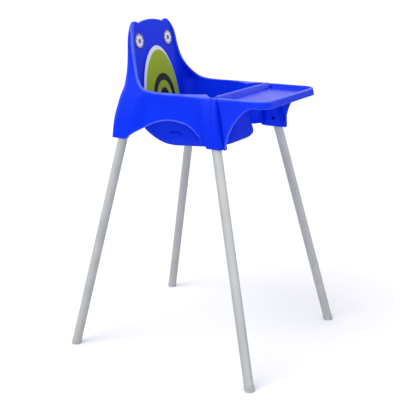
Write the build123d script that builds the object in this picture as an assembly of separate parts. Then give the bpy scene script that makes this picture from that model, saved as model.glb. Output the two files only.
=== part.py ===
from build123d import *
import math
import os

# Baby high chair. It faces -Y, +Z is up, and it stands on z = 0 with the origin midway between its feet.
# All sizes are in millimetres. "left" and "right" are the seated child's, so left is +X.

# ---------------------------------------------------------------- moulded seat shell
WALL = 3.0                      # wall of every moulded plastic part
ARM_TOP_Z = 732.0               # top of the arms, where the tray sits
ARM_HALF_WIDTH = 160.0          # outside of the arms at their top
PANEL_DRAFT = 0.135             # how far the side panels lean out, per mm down
RIM_WIDTH = 11.0                # width of the rolled rim between outer panel and inner wall
SHELL_REAR_Y = 190.0            # outside of the rear wall
SHELL_FRONT_Y = -95.0           # outside of the front wall beside the seat tub
SHELL_REAR_CORNER = 36.0        # plan radius of the rear corners
SHELL_BOTTOM_Z = 606.0          # lowest edge of the skirt, where the legs enter
BACK_TOP_Z = 911.0              # top of the backrest at its middle
BACK_LEAN = 0.146               # rearward lean of the back panel, per mm up
BACK_Y_AT_ARM = 153.6           # front face of the back panel at arm height
# Edge of the wings seen from the front, half-width and height, from the arm to the ear.
WING_FRONT = [(160.0, 729.0), (153.5, 741.0), (141.0, 760.0), (126.5, 790.0),
              (118.5, 825.0), (111.0, 870.0), (99.0, 899.0)]
# The same edge seen from the side, depth and height.
WING_SIDE = [(62.0, 732.0), (107.0, 740.0), (131.5, 760.0), (149.0, 790.0),
             (162.0, 830.0), (170.0, 878.0), (184.0, 905.0)]
EAR_X, EAR_Z = 86.0, 908.0      # top of each rounded ear
NOTCH_X, NOTCH_Z = 58.0, 901.0  # dip between ear and middle hump

# ---------------------------------------------------------------- seat tub
TUB_FRONT_Y = -116.0            # inside of the tub's front wall
TUB_TOP_HALF_WIDTH = 149.0      # inside of the tub at arm height
TUB_DRAFT = 0.211               # how far the tub's sides lean in, per mm down
FLOOR_FRONT = (-92.0, 591.5)    # seat surface at its front end
FLOOR_REAR = (76.0, 580.0)      # seat surface at its rear end
HEEL_Z = 621.0                  # where the rear slope of the seat meets the back panel
TUB_FRONT_ROUND = 32.0          # front lower corner, seen from the side
TUB_REAR_ROUND = 28.0           # rear lower corners, seen from the side
TUB_SIDE_ROUND = 32.0           # side lower corners, seen from the front
TUB_PLAN_ROUND = 75.0           # front corners, seen from above
POST_HALF_WIDTH = 46.0          # crotch post between the leg openings
LEG_OPENING_OUTER_X = 116.0
LEG_OPENING_BOTTOM_Z = 626.0
LEG_OPENING_ROUND = 22.0
PAD_HALF_WIDTH = 94.0           # raised arch on the back panel
PAD_SPRING_Z = 660.0            # height where the arch's sides start to curve
PAD_TOP_Z = 840.0
PAD_BOTTOM_Z = 586.0
PAD_HOLLOW_BOTTOM_Z = 635.0
PAD_RAISE = 14.0                # how far the arch stands out of the back panel

# ---------------------------------------------------------------- side and rear arches of the skirt
SIDE_ARCH = [(-85.0, 596.0), (-83.0, 616.0), (-72.0, 632.0), (-47.0, 651.0), (-12.0, 660.5),
             (25.0, 661.0), (60.0, 652.5), (103.0, 631.0), (141.0, 605.0)]
REAR_ARCH_HALF_WIDTH = 138.0
REAR_ARCH_TOP_Z = 668.0
FRONT_WALL_BOTTOM_Z = 614.0

# ---------------------------------------------------------------- legs
TUBE_RADIUS = 12.7
TUBE_WALL = 1.2
TUBE_LENGTH = 662.5             # all four tubes are cut alike
SOCKET_CLEARANCE = 0.05         # radial, tube in its socket
SOCKET_WALL = 2.6
FOOT_FRONT = (267.5, -283.0, 0.0)       # where the leg's axis meets the floor
FOOT_REAR = (262.0, 283.0, 0.0)
MOUTH_FRONT = (183.6, -134.4, 609.0)    # where the leg's axis enters the shell
MOUTH_REAR = (181.8, 156.0, 607.0)
BELOW_MOUTH = 30.0              # reach of the socket's cuts below its mouth
FOOT_RADIUS = 14.0
FOOT_HEIGHT = 16.0              # cap outside the tube, along the leg
PLUG_LENGTH = 22.0              # cap inside the tube
PLUG_CLEARANCE = 0.05
FOOT_FLOOR = 10.0               # solid end of the cap under its hollow plug
# Column around each socket: height, centre x, centre y, width, depth, corner radius.
FRONT_COLUMN = [(606.0, 183.6, -133.6, 31.6, 49.5, 12.0),
                (657.0, 176.3, -119.1, 33.0, 47.8, 12.0),
                (731.5, 147.5, -98.2, 23.0, 44.6, 6.0)]
REAR_COLUMN = [(606.0, 181.8, 156.4, 31.6, 41.0, 12.0),
               (662.0, 174.0, 141.0, 33.0, 60.0, 12.0),
               (729.0, 148.0, 126.0, 22.0, 62.0, 6.0)]

# ---------------------------------------------------------------- leg screws
SCREW_RADIUS = 1.9
SCREW_LENGTH = 14.0
SCREW_HEAD_RADIUS = 4.0
SCREW_HEAD_HEIGHT = 2.4
SCREW_CLEARANCE = 0.1           # radial, screw in its hole
SCREW_SEAT = 19.0               # head's seat, inwards from the leg's axis
SCREW_UP_THE_LEG = 22.0         # distance of the screw above the socket's mouth
SCREW_BOSS_WALL = 2.0           # boss around the head's seat
SCREW_HEAD_ROOM = 2.5           # radial room for a driver beyond the head
SCREW_ACCESS = 6.0              # depth of that room
SCREW_RECESS_RADIUS = 1.4       # drive recess in the head
SCREW_RECESS_DEPTH = 1.4

# ---------------------------------------------------------------- tray
TRAY_GAP = 0.5                  # tray to shell, all round
TRAY_FRONT_Y = -262.0
TRAY_REAR_Y = -108.0
TRAY_HALF_WIDTH = 160.0
TRAY_CORNER = 35.0
TRAY_REAR_CORNER = 4.0
TRAY_LIP_BOTTOM_Z = 712.0
TRAY_FLOOR_Z = 720.0            # eating surface
TRAY_RIM = 7.0                  # width of the raised rim
TRAY_BAR = 19.0                 # width of the rear bar across the child's lap
TRAY_BAR_RISE = 2.0             # bar above the rim
# Outside of the side skirts seen from the front, and their open arch seen from the side.
SKIRT_OUTSIDE = [(160.0, 732.0), (166.0, 690.0), (174.8, 653.0), (188.0, 604.0)]
SKIRT_ARCH = [(-222.0, 712.5), (-197.0, 698.0), (-179.5, 674.0), (-170.0, 653.0), (-164.5, 630.0),
              (-162.5, 606.0)]
SKIRT_BOTTOM_Z = 604.0
SKIRT_RETURN = 13.0             # inward flange along the column
TONGUE_X, TONGUE_WIDTH = 166.0, 6.0     # rib on the flange that enters a slot in the column
TONGUE_LOW_Z, TONGUE_HIGH_Z = 652.0, 668.0
TONGUE_DEPTH = 8.0
TONGUE_CLEARANCE = 0.6

# ---------------------------------------------------------------- printed labels
FILM = 0.5
LABEL_MARGIN = 5.0
LABEL_BOTTOM_Z = 640.0
ROUNDEL_X, ROUNDEL_Z, ROUNDEL_RADIUS = 72.6, 855.0, 22.0

# ---------------------------------------------------------------- harness
# The harness lies on the sloping seat. Its places are measured on the seat: u across the chair,
# v along the seat (rearwards positive) and w up from it.
WEB_WIDTH = 25.0
WEB_THICK = 1.4
WEB_CLEARANCE = 0.4             # webbing in the slots of its fittings
WEB_SLOT_CLEARANCE = 0.8        # webbing in the shell's slots
SLOT_DEPTH = 24.0               # reach of those slots, through the tub's wall
LAP_V = 22.0                    # where the lap straps cross the seat
LAP_RISE_U = 72.0               # where a lap strap starts to climb the tub's side
LAP_ANCHOR_U, LAP_ANCHOR_W = 104.0, 34.0    # where it turns out through its slot
LAP_END_U = 131.0               # its end, sewn to the anchor bar outside the tub
LAP_BEND = 10.0
CROTCH_SLOT_V = -66.0
CROTCH_LEVEL = 12.0             # level run in front of the buckle
CROTCH_DIP = 20.0               # run in which it comes down to the seat
CROTCH_END_W = -8.0
CROTCH_BEND = 3.5
BUCKLE_WIDTH, BUCKLE_LENGTH, BUCKLE_HEIGHT = 42.0, 44.0, 12.0
BUCKLE_LIFT = 0.6               # gap under the buckle
BUCKLE_ROUND = 3.0
TONGUE_PLATE = (24.0, 27.0, 5.0)        # u, v and w of each buckle tongue
TONGUE_INSERT = 9.0             # how far it goes into the buckle
TONGUE_FIT = 0.3
BUTTON_RADIUS = 9.0
BUTTON_HEIGHT = 7.0
BUTTON_PROUD = 2.6
BUTTON_TRAVEL = 2.2
BUTTON_CLEARANCE = 0.3
ADJUSTER = (12.0, 32.0, 5.0)            # u, v and w of each strap adjuster
ADJUSTER_U = 50.0               # middle of the adjuster at rest
ANCHOR_BAR = (36.0, 9.0, 2.5)           # length, width and thickness

SPAN = 600.0                    # reach of the cutting profiles, past the whole chair
PAST_FACE = 1.0                 # how far a cut runs past the face it opens


# ---------------------------------------------------------------- small helpers
def face_of(*curves):
    """A flat face inside end-to-end curves."""
    return make_face([edge for curve in curves for edge in curve.edges()])


def across(profile):
    """A profile drawn in (y, z), carried right across the chair along X."""
    return extrude(Plane.YZ * profile, SPAN, both=True)


def through(profile):
    """A profile drawn in (x, z), carried from front to back along Y."""
    return extrude(Plane.XZ * profile, SPAN, both=True)


def block(x0, x1, y0, y1, z0, z1):
    """A box between two corners."""
    return Pos((x0 + x1) / 2, (y0 + y1) / 2, (z0 + z1) / 2) * Box(x1 - x0, y1 - y0, z1 - z0)


def both_sides(solid):
    """The solid and its mirror image on the other side of the chair."""
    return solid + mirror(solid, Plane.YZ)


def panel_x(z):
    """Outside of the side panel at a height."""
    return ARM_HALF_WIDTH + PANEL_DRAFT * (ARM_TOP_Z - z)


def back_y(z):
    """Front face of the back panel at a height."""
    return BACK_Y_AT_ARM + BACK_LEAN * (z - ARM_TOP_Z)


# ---------------------------------------------------------------- seat shell
def shifted(points, amount):
    """Points moved square to their path, to the left of its direction when amount is positive."""
    moved = []
    for i, point in enumerate(points):
        before = points[max(i - 1, 0)]
        after = points[min(i + 1, len(points) - 1)]
        run, rise = after[0] - before[0], after[1] - before[1]
        size = math.hypot(run, rise)
        moved.append((point[0] - amount * rise / size, point[1] + amount * run / size))
    return moved


def rim_profile(inset):
    """Side view of the shell under its rim: level arms that sweep up into the wings."""
    low = SHELL_BOTTOM_Z - 60.0
    top = BACK_TOP_Z + 20.0
    points = [(WING_SIDE[0][0], ARM_TOP_Z - inset)] + shifted(WING_SIDE, -inset)[1:]
    arm = Line((-SPAN, ARM_TOP_Z - inset), points[0])
    wing = Spline(points, tangents=[(1.0, 0.0), (1.0, 1.3)])
    crown = Line(points[-1], (points[-1][0] + (top - points[-1][1]) / 1.3, top))
    rest = Polyline(crown @ 1, (SPAN, top), (SPAN, low), (-SPAN, low), (-SPAN, ARM_TOP_Z - inset))
    return face_of(arm, wing, crown, rest)


def wing_outline(inset):
    """Front view of the shell: straight sides, wings that narrow, two ears and a middle hump."""
    low = SHELL_BOTTOM_Z - 60.0
    wide = ARM_HALF_WIDTH + 60.0
    points = shifted(WING_FRONT, inset)
    shoulder = (wide, points[0][1] - 25.0)
    ear = (EAR_X, EAR_Z - inset)
    notch = (NOTCH_X, NOTCH_Z - inset)
    side = Polyline((0.0, low), (wide, low), shoulder, points[0])
    wing = Spline(points, tangents=[(-0.55, 1.0), (-1.0, 0.8)])
    lobe = Spline([points[-1], ear, notch], tangents=[(-1.0, 0.8), (-1.0, -0.55)])
    hump = Spline([notch, (0.0, BACK_TOP_Z - inset)], tangents=[(-1.0, 0.55), (-1.0, 0.0)])
    middle = Line(hump @ 1, (0.0, low))
    half = face_of(side, wing, lobe, hump, middle)
    return half + mirror(half, Plane.YZ)


def drafted_block(inset):
    """The skirt's outside as a tapering block, rounded at its rear corners."""
    sections = []
    for z in (SHELL_BOTTOM_Z - inset * 10.0, BACK_TOP_Z + 30.0):
        half = panel_x(z) - inset
        front = SHELL_FRONT_Y + inset
        rear = SHELL_REAR_Y - inset
        outline = Rectangle(2.0 * half, rear - front)
        rear_corners = outline.vertices().group_by(Axis.Y)[-1]
        outline = fillet(rear_corners, SHELL_REAR_CORNER - inset)
        sections.append(Pos(0.0, (rear + front) / 2.0, z) * outline)
    return loft(sections)


def outer_form(inset):
    """Everything inside the shell's outer surface, less the inset."""
    return drafted_block(inset) & across(rim_profile(inset)) & through(wing_outline(inset))


def tub_side_view(grow):
    """The tub seen from the side: front wall, sloping seat, heel and leaning back, with round corners."""
    top = BACK_TOP_Z + 40.0
    heel = (back_y(HEEL_Z), HEEL_Z)
    corners = [(TUB_FRONT_Y, top), (TUB_FRONT_Y, FLOOR_FRONT[1]), FLOOR_REAR, heel, (back_y(top), top)]
    face = make_face(Polyline(*corners, close=True).edges())
    front_low = face.vertices().filter_by(lambda v: v.X < TUB_FRONT_Y + 1.0 and v.Y < top - 1.0)
    face = fillet(front_low, TUB_FRONT_ROUND)
    rear_low = face.vertices().filter_by(lambda v: v.X > FLOOR_REAR[0] - 1.0 and v.Y < HEEL_Z + 1.0)
    face = fillet(rear_low, TUB_REAR_ROUND)
    return offset(face, grow, kind=Kind.INTERSECTION) if grow else face


def tub_front_view(grow):
    """The tub seen from the front: sides that lean in, round lower corners, and the wings above."""
    top = BACK_TOP_Z + 40.0
    floor_z = FLOOR_REAR[1] - grow
    wall_shift = grow * math.hypot(1.0, TUB_DRAFT)
    floor_half = TUB_TOP_HALF_WIDTH + wall_shift - TUB_DRAFT * (ARM_TOP_Z - floor_z)
    points = shifted([(x - RIM_WIDTH, z) for x, z in WING_FRONT], -grow)
    wall = Polyline((0.0, floor_z), (floor_half, floor_z), points[0])
    wing = Spline(points, tangents=[(-0.2, 1.0), (-1.0, 0.8)])
    lid = Polyline(points[-1], (points[-1][0] - 5.0, top), (0.0, top), (0.0, floor_z))
    half = face_of(wall, wing, lid)
    half = fillet(half.vertices().filter_by(lambda v: v.Y < floor_z + 1.0 and v.X > 1.0), TUB_SIDE_ROUND + grow)
    return half + mirror(half, Plane.YZ)


def tub_plan_view(grow):
    """The tub seen from above: a bowed front."""
    half = TUB_TOP_HALF_WIDTH + 20.0 + grow
    front = TUB_FRONT_Y - grow
    rear = SHELL_REAR_Y + 60.0
    face = Pos(0.0, (rear + front) / 2.0) * Rectangle(2.0 * half, rear - front)
    return fillet(face.vertices().group_by(Axis.Y)[0], TUB_PLAN_ROUND + 20.0 + grow)


def tub_form(grow):
    """The space the child sits in, grown outwards by a wall: three views cut to one shape."""
    plan = extrude(Pos(0.0, 0.0, FLOOR_REAR[1] - 80.0) * tub_plan_view(grow), 600.0)
    return across(tub_side_view(grow)) & through(tub_front_view(grow)) & plan


def column_sections(sections, side, grow):
    """Rounded rectangles up one column, each grown by the same wall."""
    return [Pos(side * x, y, z) * RectangleRounded(w + 2.0 * grow, d + 2.0 * grow, max(r + grow, 2.0))
            for z, x, y, w, d, r in sections]


def column_solid(sections, side):
    """Outside of a column, from its foot to the arm."""
    return loft(column_sections(sections, side, 0.0))


def column_hollow(sections, side):
    """Inside of a column: open below, closed under the arm's top."""
    upper = column_sections(sections, side, -WALL)
    upper[-1] = Pos(0.0, 0.0, -WALL) * upper[-1]
    below = Pos(0.0, 0.0, -2.0 * WALL) * upper[0]
    return loft(upper) + loft([below, upper[0]])


def leg_frame(foot, mouth, side):
    """A plane on the foot's centre whose Z runs up the leg, and the length up to the socket's mouth."""
    base = Vector(side * foot[0], foot[1], foot[2])
    top = Vector(side * mouth[0], mouth[1], mouth[2])
    axis = (top - base).normalized()
    return Plane(origin=base, x_dir=axis.cross(Vector(0, 1, 0)), z_dir=axis), (top - base).length


def rod(frame, radius, low, high):
    """A round bar on a leg's axis between two distances from the floor."""
    return frame * Pos(0.0, 0.0, low) * Cylinder(radius, high - low, align=(Align.CENTER, Align.CENTER, Align.MIN))


TUBE_TOP = FOOT_HEIGHT + TUBE_LENGTH
LEGS = {
    "front_left": (FOOT_FRONT, MOUTH_FRONT, 1),
    "front_right": (FOOT_FRONT, MOUTH_FRONT, -1),
    "rear_left": (FOOT_REAR, MOUTH_REAR, 1),
    "rear_right": (FOOT_REAR, MOUTH_REAR, -1),
}


def screw_axis(foot, mouth, side):
    """Where a leg's screw crosses the leg's axis; the screw itself points straight inwards."""
    frame, mouth_at = leg_frame(foot, mouth, side)
    return frame.origin + frame.z_dir * (mouth_at + SCREW_UP_THE_LEG)


def crosswise(point, side, radius, near, far):
    """A round bar along X, between two distances inwards from a point on a leg's axis."""
    middle = point.X - side * (near + far) / 2.0
    return Pos(middle, point.Y, point.Z) * Rot(0, 90, 0) * Cylinder(radius, far - near)


def leg_socket(foot, mouth, side):
    """The sleeve a leg slides into, with a stop above the tube and a boss for its screw."""
    frame, mouth_at = leg_frame(foot, mouth, side)
    outer = TUBE_RADIUS + SOCKET_CLEARANCE + SOCKET_WALL
    sleeve = rod(frame, outer, mouth_at - BELOW_MOUTH, TUBE_TOP + WALL)
    boss = crosswise(screw_axis(foot, mouth, side), side, SCREW_HEAD_RADIUS + SCREW_BOSS_WALL, TUBE_RADIUS,
                     SCREW_SEAT)
    return (sleeve + boss) & block(-SPAN, SPAN, -SPAN, SPAN, SHELL_BOTTOM_Z, ARM_TOP_Z)


def seat_shell():
    """One moulding: skirt, arms, wings, columns with their sockets, and the seat tub hung inside."""
    shell = outer_form(0.0) - outer_form(WALL)
    arch = face_of(Spline(SIDE_ARCH), Line(SIDE_ARCH[-1], SIDE_ARCH[0]))
    shell -= across(arch)
    rear_arch = Pos(0.0, SHELL_BOTTOM_Z) * Ellipse(REAR_ARCH_HALF_WIDTH, REAR_ARCH_TOP_Z - SHELL_BOTTOM_Z)
    shell -= through(rear_arch) & block(-SPAN, SPAN, back_y(HEEL_Z), SPAN, 0.0, ARM_TOP_Z)
    shell -= block(-SPAN, SPAN, -SPAN, SHELL_FRONT_Y + WALL, 0.0, FRONT_WALL_BOTTOM_Z)
    for side in (1, -1):
        for sections in (FRONT_COLUMN, REAR_COLUMN):
            shell += column_solid(sections, side)
    for side in (1, -1):
        for sections in (FRONT_COLUMN, REAR_COLUMN):
            shell -= column_hollow(sections, side)
    under_rim = across(rim_profile(0.0)) & through(wing_outline(0.0))
    shell += tub_form(WALL) & under_rim
    shell -= tub_form(0.0)
    shell += back_pad(0.0) & tub_form(WALL)
    shell -= back_pad(WALL)
    for foot, mouth, side in LEGS.values():
        shell += leg_socket(foot, mouth, side)
    for foot, mouth, side in LEGS.values():
        frame, mouth_at = leg_frame(foot, mouth, side)
        shell -= rod(frame, TUBE_RADIUS + SOCKET_CLEARANCE, mouth_at - BELOW_MOUTH, TUBE_TOP)
        centre = screw_axis(foot, mouth, side)
        shell -= crosswise(centre, side, SCREW_RADIUS + SCREW_CLEARANCE, TUBE_RADIUS - PAST_FACE,
                           SCREW_SEAT + PAST_FACE)
        shell -= crosswise(centre, side, SCREW_HEAD_RADIUS + SCREW_HEAD_ROOM, SCREW_SEAT,
                           SCREW_SEAT + SCREW_ACCESS)
    opening_top = ARM_TOP_Z + 40.0
    opening_width = LEG_OPENING_OUTER_X - POST_HALF_WIDTH
    opening = Rectangle(opening_width, opening_top - LEG_OPENING_BOTTOM_Z)
    opening = fillet(opening.vertices().group_by(Axis.Y)[0], LEG_OPENING_ROUND)
    opening = Pos((LEG_OPENING_OUTER_X + POST_HALF_WIDTH) / 2.0, (opening_top + LEG_OPENING_BOTTOM_Z) / 2.0) * opening
    leg_opening = through(opening) & block(0.0, SPAN, -SPAN, TUB_FRONT_Y + 50.0, 0.0, SPAN * 2.0)
    shell -= both_sides(leg_opening)
    notch_z = TRAY_LIP_BOTTOM_Z - TRAY_GAP
    shell -= block(-SPAN, SPAN, -SPAN, TRAY_REAR_Y + TRAY_GAP, notch_z, SPAN * 2.0)
    slot_half = TONGUE_WIDTH / 2.0 + TONGUE_CLEARANCE
    slot = block(TONGUE_X - slot_half, TONGUE_X + slot_half, TRAY_FRONT_Y, tongue_end_y() + TONGUE_CLEARANCE,
                 TONGUE_LOW_Z - TONGUE_CLEARANCE, notch_z + 1.0)
    shell -= both_sides(slot)
    shell -= harness_slots()
    return shell


def back_pad(inset):
    """The raised arch on the back panel, or the hollow behind it when given a wall."""
    low = PAD_HOLLOW_BOTTOM_Z if inset else PAD_BOTTOM_Z
    width = PAD_HALF_WIDTH - inset
    arch = Pos(0.0, PAD_SPRING_Z) * Ellipse(width, PAD_TOP_Z - PAD_SPRING_Z - inset)
    post = Pos(0.0, (low + PAD_SPRING_Z) / 2.0) * Rectangle(2.0 * width, PAD_SPRING_Z - low)
    upper = Pos(0.0, PAD_SPRING_Z + 200.0) * Rectangle(2.0 * width, 400.0)
    outline = (arch & upper) + post
    front = -PAD_RAISE + inset
    rear = WALL - 0.5 if not inset else WALL + 1.0
    top = PAD_TOP_Z + 20.0
    slab = Polyline((back_y(low) + front, low), (back_y(top) + front, top), (back_y(top) + rear, top),
                    (back_y(low) + rear, low), close=True)
    return through(outline) & across(make_face(slab.edges()))


def column_front_y(z):
    """Front face of the front columns, which the tray's skirts follow."""
    low, high = FRONT_COLUMN[0], FRONT_COLUMN[-1]
    low_y = low[2] - low[4] / 2.0
    high_y = high[2] - high[4] / 2.0
    return low_y + (high_y - low_y) * (z - low[0]) / (high[0] - low[0])


def tongue_end_y():
    """How far back the tray's tongues reach into the columns."""
    return column_front_y(TONGUE_LOW_Z) - TRAY_GAP - WALL / 2.0 + TONGUE_DEPTH


# ---------------------------------------------------------------- legs, feet and screws
def leg_tube(foot, mouth, side):
    """A straight open tube with a hole for its screw."""
    frame, mouth_at = leg_frame(foot, mouth, side)
    tube = rod(frame, TUBE_RADIUS, FOOT_HEIGHT, TUBE_TOP)
    tube -= rod(frame, TUBE_RADIUS - TUBE_WALL, FOOT_HEIGHT - PAST_FACE, TUBE_TOP + PAST_FACE)
    hole = crosswise(screw_axis(foot, mouth, side), side, SCREW_RADIUS + SCREW_CLEARANCE, 0.0, TUBE_RADIUS + 2.0)
    return tube - hole


def foot_cap(foot, mouth, side):
    """A cap cut level with the floor, with a hollow plug inside the tube."""
    frame, _ = leg_frame(foot, mouth, side)
    plug = TUBE_RADIUS - TUBE_WALL - PLUG_CLEARANCE
    cap = rod(frame, FOOT_RADIUS, -FOOT_RADIUS, FOOT_HEIGHT) + rod(frame, plug, 0.0, FOOT_HEIGHT + PLUG_LENGTH)
    cap -= rod(frame, plug - WALL, FOOT_FLOOR, FOOT_HEIGHT + PLUG_LENGTH + PAST_FACE)
    return cap & block(-SPAN, SPAN, -SPAN, SPAN, 0.0, SPAN)


def leg_screws():
    """Four pan-head screws, each through its socket's boss into the tube."""
    screws = []
    for foot, mouth, side in LEGS.values():
        centre = screw_axis(foot, mouth, side)
        shank = crosswise(centre, side, SCREW_RADIUS, SCREW_SEAT - SCREW_LENGTH, SCREW_SEAT)
        head = crosswise(centre, side, SCREW_HEAD_RADIUS, SCREW_SEAT, SCREW_SEAT + SCREW_HEAD_HEIGHT)
        head_end = SCREW_SEAT + SCREW_HEAD_HEIGHT
        drive = crosswise(centre, side, SCREW_RECESS_RADIUS, head_end - SCREW_RECESS_DEPTH, head_end + PAST_FACE)
        screws.append(shank + head - drive)
    return Compound(screws)


# ---------------------------------------------------------------- tray
def tray_outline(inset, rear_y):
    """The tray seen from above, less an inset, back to a given line."""
    front = TRAY_FRONT_Y + inset
    outline = Rectangle(2.0 * (TRAY_HALF_WIDTH - inset), rear_y - front)
    outline = fillet(outline.vertices().group_by(Axis.Y)[0], TRAY_CORNER - inset)
    outline = fillet(outline.vertices().group_by(Axis.Y)[-1], TRAY_REAR_CORNER)
    return Pos(0.0, (rear_y + front) / 2.0) * outline


def skirt_slab(depth):
    """A wall of a given depth behind the skirts' outer surface, on the left side."""
    inside = shifted(SKIRT_OUTSIDE, -depth)
    outer = Spline(SKIRT_OUTSIDE)
    inner = Spline(inside)
    return through(face_of(outer, Line(outer @ 1, inner @ 1), inner, Line(inner @ 0, outer @ 0)))


def tray_skirt():
    """The left skirt: an arched wall, its return along the column, and the tongue on it."""
    top = TRAY_FLOOR_Z - WALL
    low_rear = column_front_y(SKIRT_BOTTOM_Z) - TRAY_GAP
    high_rear = column_front_y(top) - TRAY_GAP
    arch = Spline(SKIRT_ARCH)
    edge = Polyline(arch @ 1, (low_rear, SKIRT_BOTTOM_Z), (high_rear, top), (SKIRT_ARCH[0][0], top), arch @ 0)
    wall_face = face_of(arch, edge)
    strip = Polyline((low_rear, SKIRT_BOTTOM_Z), (high_rear, top), (high_rear - WALL, top),
                     (low_rear - WALL, SKIRT_BOTTOM_Z), close=True)
    skirt = skirt_slab(WALL) & across(wall_face)
    skirt += skirt_slab(SKIRT_RETURN) & across(make_face(strip.edges()))
    tongue = block(TONGUE_X - TONGUE_WIDTH / 2.0, TONGUE_X + TONGUE_WIDTH / 2.0,
                   tongue_end_y() - TONGUE_DEPTH, tongue_end_y(), TONGUE_LOW_Z, TONGUE_HIGH_Z)
    return skirt + tongue


def tray():
    """The lift-off tray: raised rim, sunk floor, bar across the lap and two skirts."""
    rim_top = ARM_TOP_Z
    bar_front = TRAY_REAR_Y - TRAY_BAR
    body = extrude(Pos(0.0, 0.0, TRAY_LIP_BOTTOM_Z) * tray_outline(0.0, TRAY_REAR_Y), rim_top - TRAY_LIP_BOTTOM_Z)
    bar = block(-TRAY_HALF_WIDTH + WALL, TRAY_HALF_WIDTH - WALL, bar_front, TRAY_REAR_Y,
                TRAY_FLOOR_Z, rim_top + TRAY_BAR_RISE)
    bar = fillet(bar.edges().filter_by(Axis.X).group_by(Axis.Z)[-1], 3.0)
    body += bar
    body -= extrude(Pos(0.0, 0.0, TRAY_FLOOR_Z) * tray_outline(TRAY_RIM, bar_front), 40.0)
    under = extrude(Pos(0.0, 0.0, TRAY_LIP_BOTTOM_Z - 1.0) * tray_outline(WALL, TRAY_REAR_Y - WALL),
                    TRAY_FLOOR_Z - WALL - TRAY_LIP_BOTTOM_Z + 1.0)
    groove = block(-TRAY_HALF_WIDTH + 2.0 * WALL, TRAY_HALF_WIDTH - 2.0 * WALL, bar_front + WALL,
                   TRAY_REAR_Y - WALL, TRAY_LIP_BOTTOM_Z, rim_top - WALL)
    body -= under
    body -= groove
    body += both_sides(tray_skirt())
    return body


# ---------------------------------------------------------------- printed labels
def back_label():
    """A film on the raised arch, smaller than it by an even margin."""
    width = PAD_HALF_WIDTH - LABEL_MARGIN
    height = PAD_TOP_Z - PAD_SPRING_Z - LABEL_MARGIN
    arch = Pos(0.0, PAD_SPRING_Z) * Ellipse(width, height)
    upper = Pos(0.0, PAD_SPRING_Z + 200.0) * Rectangle(2.0 * width, 400.0)
    post = Pos(0.0, (LABEL_BOTTOM_Z + PAD_SPRING_Z) / 2.0) * Rectangle(2.0 * width, PAD_SPRING_Z - LABEL_BOTTOM_Z)
    return through((arch & upper) + post) & lean_slab(-PAD_RAISE - FILM, -PAD_RAISE)


def lean_slab(front, rear):
    """A sheet parallel to the back panel, between two distances from its front face along Y."""
    low, top = SHELL_BOTTOM_Z, BACK_TOP_Z
    corners = [(back_y(low) + front, low), (back_y(top) + front, top),
               (back_y(top) + rear, top), (back_y(low) + rear, low)]
    return across(make_face(Polyline(*corners, close=True).edges()))


def roundel(side):
    """A round film on the upper back panel."""
    disc = Pos(side * ROUNDEL_X, ROUNDEL_Z) * Circle(ROUNDEL_RADIUS)
    return through(disc) & lean_slab(-FILM, 0.0)


# ---------------------------------------------------------------- harness
SEAT_SLOPE = math.atan2(FLOOR_REAR[1] - FLOOR_FRONT[1], FLOOR_REAR[0] - FLOOR_FRONT[0])
SEAT_MID_Z = FLOOR_REAR[1] - FLOOR_REAR[0] * math.tan(SEAT_SLOPE)
SEAT = Plane(origin=(0.0, 0.0, SEAT_MID_Z), x_dir=(1.0, 0.0, 0.0),
             z_dir=(0.0, -math.sin(SEAT_SLOPE), math.cos(SEAT_SLOPE)))
WEB_W = BUCKLE_LIFT + BUCKLE_HEIGHT / 2.0       # height of the webbing's middle at the buckle
BUCKLE_FRONT_V = LAP_V - BUCKLE_LENGTH / 2.0
TONGUE_OUTER_U = BUCKLE_WIDTH / 2.0 + TONGUE_PLATE[0] - TONGUE_INSERT
WEB_HOLD = 6.0                  # webbing sewn into a tongue or the buckle


def centred(u, v, w, size):
    """A box by its middle and its size along u, v and w."""
    return Pos(u, v, w) * Box(*size)


def webbing(points, radius, across_axis, grow):
    """Flat webbing along a bent line, or the room it needs when grown."""
    path = FilletPolyline(*points, radius=radius)
    section = Plane(origin=path @ 0, x_dir=across_axis, z_dir=path % 0)
    strip = section * Rectangle(WEB_WIDTH + 2.0 * grow, WEB_THICK + 2.0 * grow)
    return sweep(strip, path=path)


def lap_line(side):
    """Centre line of a lap strap: level from its tongue, then up and out through the tub's wall."""
    return [(side * (TONGUE_OUTER_U - WEB_HOLD), LAP_V, WEB_W), (side * LAP_RISE_U, LAP_V, WEB_W),
            (side * LAP_ANCHOR_U, LAP_V, LAP_ANCHOR_W), (side * LAP_END_U, LAP_V, LAP_ANCHOR_W)]


def crotch_line():
    """Centre line of the crotch strap: forward along the seat, then down through its slot."""
    rest_w = WEB_THICK / 2.0 + BUCKLE_LIFT
    dip_v = BUCKLE_FRONT_V - CROTCH_LEVEL
    return [(0.0, BUCKLE_FRONT_V + WEB_HOLD, WEB_W), (0.0, dip_v, WEB_W),
            (0.0, dip_v - CROTCH_DIP, rest_w), (0.0, CROTCH_SLOT_V, rest_w),
            (0.0, CROTCH_SLOT_V, CROTCH_END_W)]


def harness_slots():
    """Slots in the tub for the three straps."""
    thick = WEB_THICK + 2.0 * WEB_SLOT_CLEARANCE
    wide = WEB_WIDTH + 2.0 * WEB_SLOT_CLEARANCE
    lap = centred(LAP_END_U - SLOT_DEPTH / 2.0, LAP_V, LAP_ANCHOR_W, (SLOT_DEPTH, wide, thick))
    crotch = centred(0.0, CROTCH_SLOT_V, 0.0, (wide, thick, SLOT_DEPTH))
    return SEAT.location * (both_sides(lap) + crotch)


def lap_strap(side):
    """One side of the lap belt."""
    return SEAT.location * webbing(lap_line(side), LAP_BEND, (0, 1, 0), 0.0)


def crotch_strap():
    """The strap between the legs, from the buckle down through the seat."""
    return SEAT.location * webbing(crotch_line(), CROTCH_BEND, (1, 0, 0), 0.0)


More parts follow.
